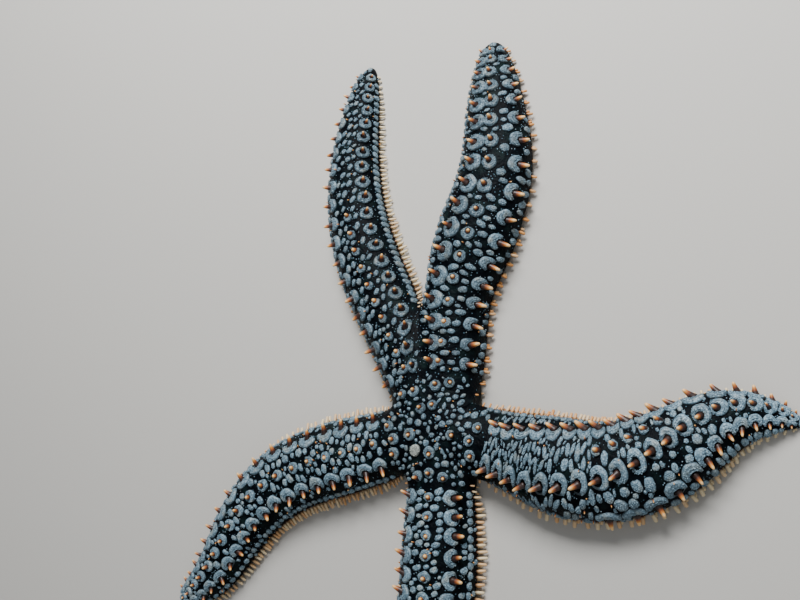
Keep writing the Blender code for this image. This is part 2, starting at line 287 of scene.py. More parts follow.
ARM_PLANS = (
    ArmPlan(
        "arm_1", 139 * MM, 1.33, 1.00, 2.8, 20, 0.50, 4.0,
        (Bend(39 * MM, 105 * MM, 51), Bend(95 * MM, 141 * MM, -55)),
        left=RingRow((0.36, 0.68), (1.04, 1.04), mm(7.2, 7.4), span=mm(30, 85), gap=(1.0, 1.0),
            shift=(0.24, 0.2), lean=(0.1, 0.2), sway=(-1.3, -0.5), spine=(1.0, 1.3), ripeness=(0.6, -0.6)),
        right=RingRow((-0.40, 0.34), (0.90, 1.10), mm(10.4, 8.6), span=mm(40, 125), hole=(0.48, 0.28),
            gap=(1.0, 0.3), shift=(0.02, 0.15), tilt=(0.25, 1.25), lean=(0.5, 0.1), sway=(-0.8, -0.6),
            spine=(1.0, 1.1), ripeness=(0.5, -0.2)),
        crest=RingRow((0.0, 0.54), (0.60, 0.75), mm(3.6, 5.0), span=mm(40, 110), reach=mm(66, 100),
            gap=(0.6, 0.6), lean=(0.1, 0.1), sway=(-0.5, -0.5)),
        margin=RingRow((-0.80, -0.22), (1.02, 1.10), mm(7.0, 8.6), span=mm(76, 122), reach=mm(66, 139),
            gap=(0.9, 0.9), shift=(0.26, 0.26), lean=(0.7, 0.5), sway=(0.1, -0.2), ripeness=(0.9, 0.7)),
        pad_size=mm(1.00, 2.20), slimness=(3.8, 1.3), pad_gap=0.20 * MM, smallest_pad=0.32,
        pad_growth=(1.25, 1.7), pad_painted_light_and_shade=(-0.52, 0.40), left_flank=(0.5, 0.5), right_flank=(0.15, 1.0),
        edge_rows=(0.80, 0.0), edge_size=mm(2.7, 2.8), left_comb=Comb(2.0 * MM, (0.15, 0.75), (0.9, 0.3)),
        right_comb=Comb(3.0 * MM, (0.35, 0.95), (0.9, 0.95), 1.35),
    ),
    ArmPlan(
        "arm_2", 158 * MM, 1.27, 0.46, 2.0, 17, 0.45, -8.5,
        (Bend(41 * MM, 71 * MM, -15), Bend(84 * MM, 122 * MM, 25)),
        left=RingRow((0.33, 0.27), (0.90, 0.86), mm(8.2, 10.4), hole=(0.33, 0.33), gap=(0.6, 0.1),
            shift=(0.10, 0.02), tilt=(-0.3, -0.3), lean=(0.3, 0.3), sway=(0.2, 0.2)),
        right=RingRow((-0.53, -0.53), (0.70, 0.68), mm(7.0, 7.4), hole=(0.30, 0.30), gap=(0.9, 0.8),
            shift=(0.26, 0.26), tilt=(0.3, 0.3), lean=(0.6, 0.6), ripeness=(1.2, 1.0)),
        crest=RingRow((0.0, 0.0), (0.45, 0.84), mm(3.8, 8.6), hole=(0.32, 0.32), gap=(0.5, 0.2),
            shift=(0.08, 0.06), tilt=(0.5, 0.5), lean=(0.1, 0.1), sway=(0.2, 0.2)),
        pad_size=mm(1.50, 1.95), slimness=(1.5, 1.6), pad_gap=0.55 * MM, smallest_pad=0.7,
        pad_painted_light_and_shade=(-0.80, -0.58), left_flank=(0.7, 0.7), right_flank=(0.3, 0.3), edge_rows=(0.8, 0.0),
        left_comb=Comb(2.2 * MM, (0.45, 0.45)), right_comb=Comb(4.6 * MM, (0.15, 0.15), (0.75, 0.75)),
    ),
    ArmPlan(
        "arm_3", 164 * MM, 1.05, 0.50, 2.0, 20, 0.10, -3.5, (Bend(52 * MM, 150 * MM, -36),),
        left=RingRow((0.44, 0.44), (0.78, 0.80), mm(5.6, 6.4), hole=(0.34, 0.34), gap=(1.0, 1.0),
            shift=(0.26, 0.26), lean=(0.5, 0.5)),
        right=RingRow((-0.42, -0.42), (0.78, 0.80), mm(6.2, 6.4), hole=(0.40, 0.40), gap=(0.15, 0.1),
            shift=(0.03, 0.03), tilt=(-1.2, -1.2), lean=(-0.05, -0.05), sway=(0.25, 0.3),
            spine=(0.85, 0.85), ripeness=(-0.7, -0.7)),
        crest=RingRow((0.0, 0.0), (0.50, 0.58), mm(3.6, 4.0), reach=(0.0, 100 * MM), hole=(0.34, 0.34),
            gap=(0.6, 0.6), lean=(0.1, 0.1), sway=(0.2, 0.2)),
        pad_size=mm(1.15, 1.35), slimness=(0.62, 0.60), pad_turn=-0.6, pad_gap=0.62 * MM, smallest_pad=0.7,
        pad_painted_light_and_shade=(-0.72, -0.48), left_flank=(0.8, 0.8), right_flank=(0.12, 0.12), edge_size=mm(2.9, 4.2),
        left_comb=Comb(2.4 * MM, (0.4, 0.4)),
        right_comb=Comb(2.25 * MM, (0.6, 1.0), (1.05, 0.75), 0.85, 0.0),
    ),
    ArmPlan(
        "arm_4", 151 * MM, 1.13, 0.52, 2.0, 18, 0.25, 0.0,
        (Bend(45 * MM, 120 * MM, 46), Bend(110 * MM, 150 * MM, -30)),
        left=RingRow((0.43, 0.43), (0.94, 0.96), mm(6.6, 7.0), gap=(0.9, 0.8), shift=(0.2, 0.2),
            lean=(0.4, 0.4), sway=(-0.2, 0.0)),
        right=RingRow((-0.43, -0.43), (0.92, 0.94), mm(6.6, 6.8), gap=(0.8, 0.6), shift=(0.18, 0.18),
            sway=(-0.2, 0.0)),
        crest=RingRow((0.0, 0.0), (0.50, 0.80), mm(3.8, 6.4), gap=(0.4, 0.4), lean=(0.1, 0.1),
            sway=(-0.2, 0.1)),
        pad_size=mm(1.4, 1.7), slimness=(1.6, 1.4), left_comb=Comb(2.1 * MM, (0.45, 0.6)),
        right_comb=Comb(2.1 * MM, (0.5, 0.7)),
    ),
    ArmPlan(
        "arm_5", 148 * MM, 1.13, 0.52, 2.0, 18, 0.25, 0.0,
        (Bend(45 * MM, 100 * MM, -34), Bend(95 * MM, 145 * MM, 40)),
        left=RingRow((0.45, 0.45), (0.94, 0.96), mm(6.6, 7.0), gap=(0.8, 0.6), shift=(0.18, 0.18)),
        right=RingRow((-0.45, -0.45), (0.94, 0.96), mm(6.6, 7.0), gap=(0.9, 0.8), shift=(0.22, 0.22),
            lean=(0.5, 0.5), sway=(-0.3, -0.1)),
        crest=RingRow((0.0, 0.0), (0.55, 0.85), mm(4.2, 6.8), gap=(0.4, 0.3), lean=(0.1, 0.1)),
        pad_size=mm(1.4, 1.7), slimness=(1.4, 1.2), pad_turn=0.3, left_comb=Comb(2.2 * MM, (0.5, 0.6)),
        right_comb=Comb(2.2 * MM, (0.4, 0.5)),
    ),
)
MAP_LENGTH = max(plan.length for plan in ARM_PLANS)


def flat_map(number: Array, column: Array, s: Array) -> Array:
    """The skin's flat map: an upright strip to an arm, its crest in the middle and its tip at the top."""
    columns = (number + 0.5 + 0.30 * column) / len(GAPS_DEGREES)
    return np.stack(np.broadcast_arrays(columns, 0.02 + 0.96 * s / MAP_LENGTH), axis=-1)


# --- The body's shape ---


class Surface:
    """A surface that small pieces are laid on. Its points are a function of two numbers, u and v."""

    reach_of_v = 1.0
    """How far v runs."""

    def points(self, u: Array, v: Array) -> Array:
        """The places on the surface."""
        raise NotImplementedError

    def unwrap(self, u: Array, v: Array) -> Array:
        """The places on the flat map of the skin."""
        raise NotImplementedError

    def painted_light_and_shade(self, u: Array) -> Array:
        """How much lighter than usual the pads are at u: painted light and shade."""
        raise NotImplementedError

    def spread(self, u: Array, v: Array) -> Array:
        """The length on the surface of one unit of v."""
        step = 0.01 * self.reach_of_v
        lengths = np.linalg.norm(self.points(u, v + step) - self.points(u, v - step), axis=-1)
        return np.maximum(lengths / (2 * step), 1e-6)

    def axes(self, u: Array, v: Array) -> tuple[Array, Array, Array]:
        """The unit directions at each place: along, across to the left and straight out."""
        du, dv = 0.3 * MM, 0.012 * self.reach_of_v
        along = self.points(u + du, v) - self.points(u - du, v)
        across = self.points(u, v + dv) - self.points(u, v - dv)
        out = unit(np.cross(along, across))
        along = unit(along)
        return along, np.cross(out, along), out

    def drape(self, u: Array, v: Array, a: Array, b: Array, lift: Array) -> Array:
        """Bends flat pieces over the surface: points go a along and b across their root, then out by lift."""
        us, vs = u[:, None] + a, v[:, None] + b / self.spread(u, v)[:, None]
        return self.points(us, vs) + self.axes(us, vs)[2] * lift[..., None]

    def map_around(self, u: Array, v: Array, a: Array, b: Array) -> Array:
        """The places on the flat map of the points a along and b across from each root (u, v)."""
        return self.unwrap(u[:, None] + a, v[:, None] + b / self.spread(u, v)[:, None])


class ArmShape(Surface):
    """The spiny side of one arm: u is the distance s along it and v the share."""

    def __init__(self, plan: ArmPlan, index: int, centre: Array) -> None:
        """Works out the arm's midline: its heading is the first one plus every bend's smooth share.

        Args:
            plan: the arm's sizes.
            index: its place in the order of the arms.
            centre: where on the floor the middle of the disc is.
        """
        self.plan, self.index, self.centre = plan, index, centre
        halves = {1: GAPS_DEGREES[index] / 2, -1: GAPS_DEGREES[index - 1] / 2}
        self.tangents = {side: math.tan(math.radians(half)) for side, half in halves.items()}
        self.heading = math.radians(FIRST_HEADING_DEGREES + sum(GAPS_DEGREES[:index]))
        self.swell_start = (BASE_HALF_WIDTH + SKIN_DEPTH) / min(self.tangents.values())
        self.table = np.linspace(0.0, plan.length, 401)
        self.angles = np.full(self.table.shape, self.heading)
        for bend in plan.bends:
            turned = smooth((self.table - bend.start) / (bend.end - bend.start))
            self.angles += math.radians(bend.degrees) * turned
        middle = (self.angles[1:] + self.angles[:-1]) / 2
        self.xs = np.concatenate([[0.0], np.cumsum(np.cos(middle)) * self.table[1]])
        self.ys = np.concatenate([[0.0], np.cumsum(np.sin(middle)) * self.table[1]])

    def taper(self, s: Array) -> Array:
        """The arm's size as a share of that at the disc: (1 - x^bluntness)^slimming, x from stem to tip."""
        share = np.clip((s - STEM_LENGTH) / (self.plan.length - STEM_LENGTH), 0.0, 1.0)
        return (1.0 - share**self.plan.bluntness) ** self.plan.slimming

    def half_width(self, s: Array) -> Array:
        """Half the arm's width at s."""
        swell = smooth((s - self.swell_start) / SWELL_LENGTH)
        return BASE_HALF_WIDTH * (1.0 + (self.plan.girth - 1.0) * swell) * self.taper(s)

    def height(self, s: Array) -> Array:
        """The height of the arm's crest at s."""
        dome = DISC_DOME * (1.0 - smooth(s / DOME_LENGTH))
        swell = smooth((s - self.swell_start) / SWELL_LENGTH)
        return (BASE_HEIGHT * (1.0 + 0.6 * (self.plan.girth - 1.0) * swell) + dome) * self.taper(s) ** 0.9

    def notch(self, side: int) -> float:
        """The distance at which the margin on that side comes clear of the neighbour's."""
        return BASE_HALF_WIDTH / self.tangents[side]

    def tangent_at(self, across: Array) -> Array:
        """The tangent of half the angle to the neighbour on the side where each point lies."""
        return np.where(across > 0, self.tangents[1], self.tangents[-1])

    def directions(self, s: Array) -> tuple[Array, Array]:
        """The level directions forward along the arm and to its left, at s."""
        angle = np.interp(s, self.table, self.angles)
        sine, cosine, level = np.sin(angle), np.cos(angle), np.zeros(len(s))
        return np.stack([cosine, sine, level], axis=-1), np.stack([-sine, cosine, level], axis=-1)

    def across(self, s: Array, share: Array) -> Array:
        """How far to the left of the midline a share of the way to the margin lies.

        The section is a D. A share is a share of the angle over it, so that across is the half width times
        its sine. The crest may lean to one side.

        Args:
            s: distances along the midline.
            share: shares from -1 to 1.

        Returns:
            Distances across.
        """
        width = np.maximum(self.half_width(s), 1e-9)
        reach = np.minimum(width, s * self.tangent_at(share))
        widest = np.arcsin(np.clip(reach / width, 0.0, 1.0))
        lean = math.radians(self.plan.lean_degrees) * smooth((s - LEAN_START) / LEAN_RAMP)
        return width * np.sin(lean * (1.0 - share * share) + share * widest)

    def rise(self, s: Array, across: Array) -> Array:
        """The height of the spiny side: margin + (crest - margin) * (1 - share^2)^fullness.

        The share is that of the half width. Near a neighbour the corner between the two arms is rounded to a
        web: the distance to the plane between them, away, is drawn out to hypot(away, fillet).

        Args:
            s: distances along the midline.
            across: distances to its left.

        Returns:
            Heights over the floor.
        """
        tangent = self.tangent_at(across)
        slant = np.hypot(1.0, tangent)
        away = np.maximum(0.0, (s * tangent - np.abs(across)) / slant)
        fillet = WEB_FILLET * (1.0 - smooth((s - BASE_HALF_WIDTH / tangent) / WEB_FADE))
        inner = np.maximum(0.0, np.abs(across) - (np.hypot(away, fillet) - away) * slant)
        share = np.clip(inner / np.maximum(self.half_width(s), 1e-9), 0.0, 1.0)
        margin = MARGIN_SHARE * self.height(s)
        return margin + (self.height(s) - margin) * (1.0 - share * share) ** FULLNESS

    def place(self, s: Array, across: Array, z: Array) -> Array:
        """The points at s along the midline, across to its left and z over the floor."""
        s, across, z = np.broadcast_arrays(s, across, z)
        angle = np.interp(s, self.table, self.angles)
        x = np.interp(s, self.table, self.xs) - across * np.sin(angle) + self.centre[0]
        y = np.interp(s, self.table, self.ys) + across * np.cos(angle) + self.centre[1]
        return np.stack([x, y, z], axis=-1)

    def points(self, u: Array, v: Array) -> Array:
        """The places at u along the arm and share v across it."""
        s = np.clip(u, 0.05 * MM, self.plan.length - 0.02 * MM)
        across = self.across(s, np.clip(v, -1.0, 1.0))
        return self.place(s, across, self.rise(s, across))

    def painted_light_and_shade(self, u: Array) -> Array:
        """How much lighter than usual the pads are, as painted light and shade: evenly from the disc to the
        tip.
        """
        return np.interp(u, (DISC_RADIUS, self.plan.length), self.plan.pad_painted_light_and_shade)

    def unwrap(self, u: Array, v: Array) -> Array:
        """The places on the arm's own strip of the flat map."""
        return flat_map(self.index, v, u)

    def sole(self, s: Array, across: Array) -> Array:
        """The height of the mouth side: the sole plus the groove or the pit round the mouth, if deeper."""
        width = np.minimum(GROOVE_HALF_WIDTH, 0.3 * self.half_width(s))
        depth = np.minimum(GROOVE_DEPTH, 0.3 * self.height(s))
        groove = depth * smooth(1.15 * (1.0 - np.abs(across) / np.maximum(width, 1e-9)))
        pit = GROOVE_DEPTH * smooth(1.2 * (1.0 - np.hypot(s, across) / MOUTH_PIT_RADIUS))
        return np.minimum(SOLE, 0.4 * self.height(s)) + np.maximum(groove, pit)

    def foot(self, s: Array, side: int) -> Array:
        """How far out the body's lower edge lies: the reach less the tuck, which starts at the notch."""
        tuck = TUCK_SHARE * smooth((s - self.notch(side)) / TUCK_RAMP)
        return np.minimum(self.half_width(s), s * self.tangents[side]) * (1.0 - tuck)

    def plates(self) -> tuple[Array, Array]:
        """The skeleton's plates from the disc to the tip: longest halfway along the arm.

        Returns:
            The distance of each plate's middle along the arm, and each plate's length.
        """
        first, last = DISC_RADIUS, self.plan.length - TIP_LENGTH
        share = np.linspace(0.0, 1.0, 400)
        pitch = (1.0 + self.plan.stretch * np.sin(math.pi * share)) * (1.0 - TIP_SHRINK * share**3)
        passed = np.cumsum(pitch) - pitch[0]
        evenly = np.linspace(0.0, 1.0, self.plan.plates + 1)
        edges = first + (last - first) * np.interp(evenly, share, passed / passed[-1])
        return (edges[1:] + edges[:-1]) / 2, np.diff(edges)


class DiscShape(Surface):
    """The spiny side of the disc, seen from above. u and v are distances from its middle along X and Y."""

    reach_of_v = 20 * MM
    # Painted shade: how much darker than usual the disc's pads are.
    pad_painted_light_and_shade = -0.62

    def __init__(self, arms: list[ArmShape], centre: Array) -> None:
        """Args: arms: the arms whose inner ends make the disc. centre: the disc's middle on the floor."""
        self.arms, self.centre = arms, centre

    def sectors(self, u: Array, v: Array) -> tuple[Array, Array, Array]:
        """Finds the arm in whose sector each point is: the one that it is furthest within.

        Args:
            u: distances along X.
            v: distances along Y.

        Returns:
            The arm's number, and the distances along and across it.
        """
        along = np.stack([u * math.cos(a.heading) + v * math.sin(a.heading) for a in self.arms])
        across = np.stack([v * math.cos(a.heading) - u * math.sin(a.heading) for a in self.arms])
        tangents = np.stack([a.tangent_at(across[k]) for k, a in enumerate(self.arms)])
        which = np.argmin(np.abs(across) - along * tangents + (along < 0) * 1.0, axis=0)
        return which, *(np.take_along_axis(x, which[None], 0)[0] for x in (along, across))

    def points(self, u: Array, v: Array) -> Array:
        """The places over (u, v): the height is that of the arm whose sector it is in."""
        which, along, across = self.sectors(u, v)
        heights = np.stack([a.rise(along, across) for a in self.arms])
        z = np.take_along_axis(heights, which[None], 0)[0]
        return np.stack([u + self.centre[0], v + self.centre[1], z], axis=-1)

    def painted_light_and_shade(self, u: Array) -> Array:
        """The painted shade on the disc's pads: the same everywhere."""
        return np.full(u.shape, self.pad_painted_light_and_shade)

    def unwrap(self, u: Array, v: Array) -> Array:
        """The flat map of the skin, through the arm in whose sector each point lies."""
        zero = np.zeros((u.size, 1))
        return self.map_around(u.ravel(), v.ravel(), zero, zero).reshape(*u.shape, 2)

    def map_around(self, u: Array, v: Array, a: Array, b: Array) -> Array:
        """The places on the flat map of the points round each root, in the strip of the root's own arm."""
        which = self.sectors(u, v)[0][:, None]
        heading = np.array([arm.heading for arm in self.arms])[which]
        x, y = u[:, None] + a, v[:, None] + b
        along = x * np.cos(heading) + y * np.sin(heading)
        across = y * np.cos(heading) - x * np.sin(heading)
        return flat_map(which, across / BASE_HALF_WIDTH, along)


# --- Meshes ---


class Closing(Enum):
    """How a grid closes. The first two also close round their columns."""

    POLES = "a single point at each end of its rows"
    RING = "its last row meets its first"
    SHEET = "not at all"


@dataclass(frozen=True)
class Weave:
    """How the points of one grid join into faces."""

    rows: int
    columns: int
    closing: Closing = Closing.POLES
    side: int = 1
    """1, or -1 for a sheet that is seen from its other side."""

    def faces(self) -> list[Array]:
        """The faces of one grid, its underside first and its top last, as the flat map keeps the last.

        Returns:
            The four-sided faces and, between a pole and its row, the three-sided ones.
        """
        grid = np.arange(self.rows * self.columns).reshape(self.rows, self.columns)
        if self.closing is Closing.SHEET:
            corners = [grid[:-1, :-1], grid[1:, :-1], grid[1:, 1:], grid[:-1, 1:]]
            return [np.stack(corners[:: self.side], axis=-1).reshape(-1, 4)]
        if self.closing is Closing.RING:
            grid = np.vstack([grid, grid[:1]])
        turned = np.roll(grid, -1, axis=1)
        quads = np.stack([grid[:-1], turned[:-1], turned[1:], grid[1:]], axis=-1).reshape(-1, 4)
        if self.closing is Closing.RING:
            return [quads]
        first = np.full(self.columns, self.rows * self.columns)
        head = np.stack([first, turned[0], grid[0]], axis=-1)
        tail = np.stack([first + 1, grid[-1], turned[-1]], axis=-1)
        return [head, quads, tail]


def new_object(name: str, data: bpy.types.ID) -> bpy.types.Object:
    """Puts an object into the scene, at the origin.

    Args:
        name: its name.
        data: its mesh, lamp or camera.

    Returns:
        The object.
    """
    made = bpy.data.objects.new(name, data)
    bpy.context.scene.collection.objects.link(made)
    return made


def attach(piece: bpy.types.Object, slot: str | None, *nodes: str) -> None:
    """Fixes a finished piece to the body and reports it.

    Args:
        piece: the piece.
        slot: not used.
        nodes: the solids that it stands for.
    """
    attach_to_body(piece, "root")
    if nodes:
        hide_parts(*nodes)
    LOG.info("%s: %d faces", piece.name, len(piece.data.polygons))


class PieceMesh:
    """One visible piece, gathered from many small grids."""

    def __init__(self, name: str) -> None:
        """Args: name: what the piece will be called."""
        self.name, self.count = name, 0
        self.points: list[Array] = []
        self.maps: list[Array] = []
        self.faces: list[Array] = []
        self.marks: dict[str, list[Array]] = {}

    def add(self, weave: Weave, points: Array, places: Array, **marks: Array) -> None:
        """Adds small pieces that share one weave.

        Args:
            weave: how each piece's points join.
            points: the points, as pieces by points by 3.
            places: where each point is on the flat map, as pieces by points by 2.
            marks: for each mark by its name, its value at each point, as pieces by points.
        """
        pieces, size = points.shape[:2]
        starts = self.count + np.arange(pieces)[:, None, None] * size
        self.faces += [(face[None] + starts).reshape(-1, face.shape[1]) for face in weave.faces()]
        self.points.append(points.reshape(-1, 3))
        self.maps.append(places.reshape(-1, 2))
        for mark, values in marks.items():
            self.marks.setdefault(mark, []).append(np.broadcast_to(values, (pieces, size)).ravel())
        self.count += pieces * size

    def build(self, material: Material, slot: str | None, *nodes: str, weld: float = 0.0) -> None:
        """Makes the piece, at the origin, with its marks, its flat map and its finish, and attaches it.

        Args:
            material: the finish.
            slot: handed on to attach, which does not use it.
            nodes: the solids that the piece stands for.
            weld: points nearer to each other than this become one.
        """
        mesh = bpy.data.meshes.new(self.name)
        loops = np.concatenate([face.ravel() for face in self.faces])
        sizes = np.concatenate([np.full(len(face), face.shape[1]) for face in self.faces])
        mesh.vertices.add(self.count)
        mesh.vertices.foreach_set("co", np.concatenate(self.points).ravel())
        mesh.loops.add(len(loops))
        mesh.loops.foreach_set("vertex_index", loops.astype(np.int32))
        mesh.polygons.add(len(sizes))
        mesh.polygons.foreach_set("loop_start", (np.cumsum(sizes) - sizes).astype(np.int32))
        mesh.update(calc_edges=True)
        mesh.uv_layers.new(name=BAKE_MAP).data.foreach_set("uv", np.concatenate(self.maps)[loops].ravel())
        for mark, values in self.marks.items():
            layer = mesh.attributes.new(mark, "FLOAT", "POINT")
            layer.data.foreach_set("value", np.concatenate(values).astype(np.float32))
        if weld:
            work = bmesh.new()
            work.from_mesh(mesh)
            bmesh.ops.remove_doubles(work, verts=work.verts, dist=weld)
            work.to_mesh(mesh)
            work.free()
        mesh.shade_smooth()
        mesh.materials.append(material)
        attach(new_object(self.name, mesh), slot, *nodes)


# --- Finishes ---


def feed(tree: Tree, node: bpy.types.Node, inputs: dict | tuple) -> None:
    """Gives a node's inputs their values or links them.

    Args:
        tree: the nodes.
        node: the node.
        inputs: by name or number, or in order, a value or the output that feeds the input.
    """
    for key, value in inputs.items() if isinstance(inputs, dict) else enumerate(inputs):
        if isinstance(value, Socket):
            tree.links.new(value, node.inputs[key])
        else:
            node.inputs[key].default_value = value


def add_node(
    tree: Tree, kind: str, output: str | int, inputs: dict | tuple = (), stops: tuple = (), **settings: object
) -> Socket:
    """Adds one node, sets it up and links its inputs.

    Args:
        tree: the nodes.
        kind: the node's type, without the words that all types begin with.
        output: the output that is wanted of it.
        inputs: what its inputs are fed with.
        stops: the places from 0 to 1 and the colours along a colour ramp.
        settings: the node's own settings.

    Returns:
        The output.
    """
    node = tree.nodes.new("ShaderNode" + kind)
    for setting, value in settings.items():
        setattr(node, setting, value)
    feed(tree, node, inputs)
    if stops:
        elements = node.color_ramp.elements
        while len(elements) < len(stops):
            elements.new(0.5)
        for element, (place, colour) in zip(elements, stops):
            element.position, element.color = place, linear(colour)
    return node.outputs[output]


@dataclass(frozen=True, kw_only=True)
class Finish:
    """What every finish has. Each kind mixes its own colour and relief out of nodes."""

    name: str
    roughness: float
    gloss: float = 0.5
    """How strongly it mirrors what it faces."""
    relief: float = 0.0
    """How deep its relief is."""

    def paint(self, add: Callable[..., Socket]) -> tuple:
        """The colour, as an output or a plain colour, and the output with the height, or None."""
        raise NotImplementedError

    def material(self) -> Material:
        """Makes the material.

        Returns:
            The material, with its colour, its gloss and its relief.
        """
        material = bpy.data.materials.new(self.name)
        material.use_nodes = True
        add = partial(add_node, material.node_tree)
        colour, height = self.paint(add)
        inputs = {"Base Color": colour, "Roughness": self.roughness, "Specular IOR Level": self.gloss}
        if height is not None:
            fed = {"Height": height, "Distance": self.relief, "Strength": 1.0}
            inputs["Normal"] = add("Bump", "Normal", fed)
        feed(material.node_tree, material.node_tree.nodes["Principled BSDF"], inputs)
        return material


@dataclass(frozen=True)
class LivingSkin(Finish):
    """Live starfish skin: thin, moist and black-green over a net of plates, with specks where single pincers
    sit. It is dark between the pads, just glossy enough to show its folds, and pale on the mouth side."""

    name: str = "moist_starfish_skin"
    deep: str = "#010307"
    middle: str = "#04090e"
    green: str = "#0c1a1b"
    speck: str = "#4f6b78"
    shade: str = "#4a4335"
    pale: str = "#857a62"
    roughness: float = 0.5
    gloss: float = 0.05
    relief: float = 0.35 * MM
    patch: float = 5.0 * MM
    wrinkle: float = 0.9 * MM
    speck_spacing: float = 1.7 * MM

    def paint(self, add: Callable[..., Socket]) -> tuple:
        """Soft patches of black and green with small pale specks, paler where it faces down, and wrinkles.

        Args:
            add: adds a node to the material.

        Returns:
            The colour and the height.
        """
        place = add("TexCoord", "Object")
        patches = add("TexNoise", "Fac", {"Vector": place, "Scale": 1 / self.patch, "Detail": 4.0})
        stops = ((0.36, self.deep), (0.52, self.middle), (0.70, self.green))
        base = add("ValToRGB", "Color", (patches,), stops)
        inputs = {"Vector": place, "Scale": 1 / self.speck_spacing, "Randomness": 1.0}
        cells = add("TexVoronoi", "Distance", inputs)
        dots = add("MapRange", "Result", (cells, 0.10, 0.17, 1.0, 0.0))
        above = add("Mix", 2, {0: dots, 6: base, 7: linear(self.speck)}, data_type="RGBA")
        normal = add("TexCoord", "Normal")
        facing = add("SeparateXYZ", "Z", (normal,))
        below = add("MapRange", "Result", (facing, -0.25, -0.85, 0.0, 1.0))
        sole = add("ValToRGB", "Color", (patches,), ((0.36, self.shade), (0.64, self.pale)))
        colour = add("Mix", 2, {0: below, 6: above, 7: sole}, data_type="RGBA")
        return colour, add("TexNoise", "Fac", {"Vector": place, "Scale": 1 / self.wrinkle, "Detail": 3.0})


@dataclass(frozen=True)
class PincerPads(Finish):
    """Blue-grey pads packed with the pale heads of tiny pincers, darkened at their feet by painted shade
    where they meet the skin between them.
    """

    name: str = "pincer_pads"
    painted_foot_shade: str = "#18242c"
    dip: str = "#587383"
    grey: str = "#7692a2"
    light: str = "#9db8c6"
    warm: str = "#a9aa9c"
    grain: float = 0.75 * MM
    cloud: float = 3.5 * MM
    roughness: float = 0.55
    relief: float = -0.12 * MM

    def paint(self, add: Callable[..., Socket]) -> tuple:
        """Round cells 0.75 mm apart, each pad a little lighter or darker by its own tone and by painted light
        and shade, and painted shade at its foot.

        Args:
            add: adds a node to the material.

        Returns:
            The colour and the height.
        """
        place = add("TexCoord", "Object")
        inputs = {"Vector": place, "Scale": 1 / self.grain, "Randomness": 0.85}
        cells = add("TexVoronoi", "Distance", inputs)
        stops = ((0.12, self.light), (0.38, self.grey), (0.68, self.dip))
        grain = add("ValToRGB", "Color", (cells,), stops)
        cloud = add("TexNoise", "Fac", {"Vector": place, "Scale": 1 / self.cloud, "Detail": 2.0})
        warmth = add("MapRange", "Result", (cloud, 0.52, 0.72, 0.0, 0.45))
        warmed = add("Mix", 2, {0: warmth, 6: grain, 7: linear(self.warm)}, data_type="RGBA")
        # Painted shade: the lower three quarters of each pad's height fade into a near-black colour, most at
        # the foot.
        along = add("Attribute", "Fac", attribute_name="along")
        rim = add("MapRange", "Result", (along, 0.0, 0.75, 0.9, 0.0))
        dark = add("Mix", 2, {0: rim, 6: warmed, 7: linear(self.painted_foot_shade)}, data_type="RGBA")
        # The tone sets each pad's value: its own random tone plus painted light and shade.
        tone = add("Attribute", "Fac", attribute_name="tone")
        shade = add("MapRange", "Result", (tone, 0.0, 1.0, 0.72, 1.12), clamp=False)
        return add("HueSaturation", "Color", {"Color": dark, "Value": shade, "Saturation": 0.98}), cells


@dataclass(frozen=True)
class SpineHorn(Finish):
    """The skin and lime of a large spine: purple-brown at its foot, then rust and orange, its tip pale, which
    is partly its own colour and partly a painted highlight.
    """

    name: str = "spine_horn"
    foot: str = "#2a1712"
    rust: str = "#8a4a26"
    orange: str = "#cd873c"
    # The pale tip colour is partly a painted highlight.
    tip: str = "#e6ba7e"
    mottle: float = 0.7 * MM
    roughness: float = 0.45

    def paint(self, add: Callable[..., Socket]) -> tuple:
        """A gradient from foot to tip, with a fine mottle.

        Args:
            add: adds a node to the material.

        Returns:
            The colour, and no height.
        """
        along = add("Attribute", "Fac", attribute_name="along")
        tone = add("Attribute", "Fac", attribute_name="tone")
        place = add("TexCoord", "Object")
        mottle = add("TexNoise", "Fac", {"Vector": place, "Scale": 1 / self.mottle, "Detail": 2.0})
        moved = add("Math", 0, (mottle, 0.10, along), operation="MULTIPLY_ADD")
        shifted = add("Math", 0, (tone, 0.13, moved), operation="MULTIPLY_ADD")
        stops = ((0.50, self.foot), (0.70, self.rust), (0.88, self.orange), (1.0, self.tip))
        return add("ValToRGB", "Color", (shifted,), stops), None


@dataclass(frozen=True)
class CombHorn(Finish):
    """Edge and groove spines: orange or cream all along, with a darker foot."""

    name: str = "comb_horn"
    foot: str = "#4a2819"
    orange: str = "#c98a48"
    cream: str = "#e0cda6"
    roughness: float = 0.5

    def paint(self, add: Callable[..., Socket]) -> tuple:
        """A short dark foot, then a colour between orange and cream that each spine has to itself.

        Args:
            add: adds a node to the material.

        Returns:
            The colour, and no height.
        """
        along = add("Attribute", "Fac", attribute_name="along")
        tone = add("Attribute", "Fac", attribute_name="tone")
        own = add("ValToRGB", "Color", (tone,), ((0.1, self.orange), (0.75, self.cream)))
        foot = add("MapRange", "Result", (along, 0.05, 0.35, 1.0, 0.0))
        return add("Mix", 2, {0: foot, 6: own, 7: linear(self.foot)}, data_type="RGBA"), None


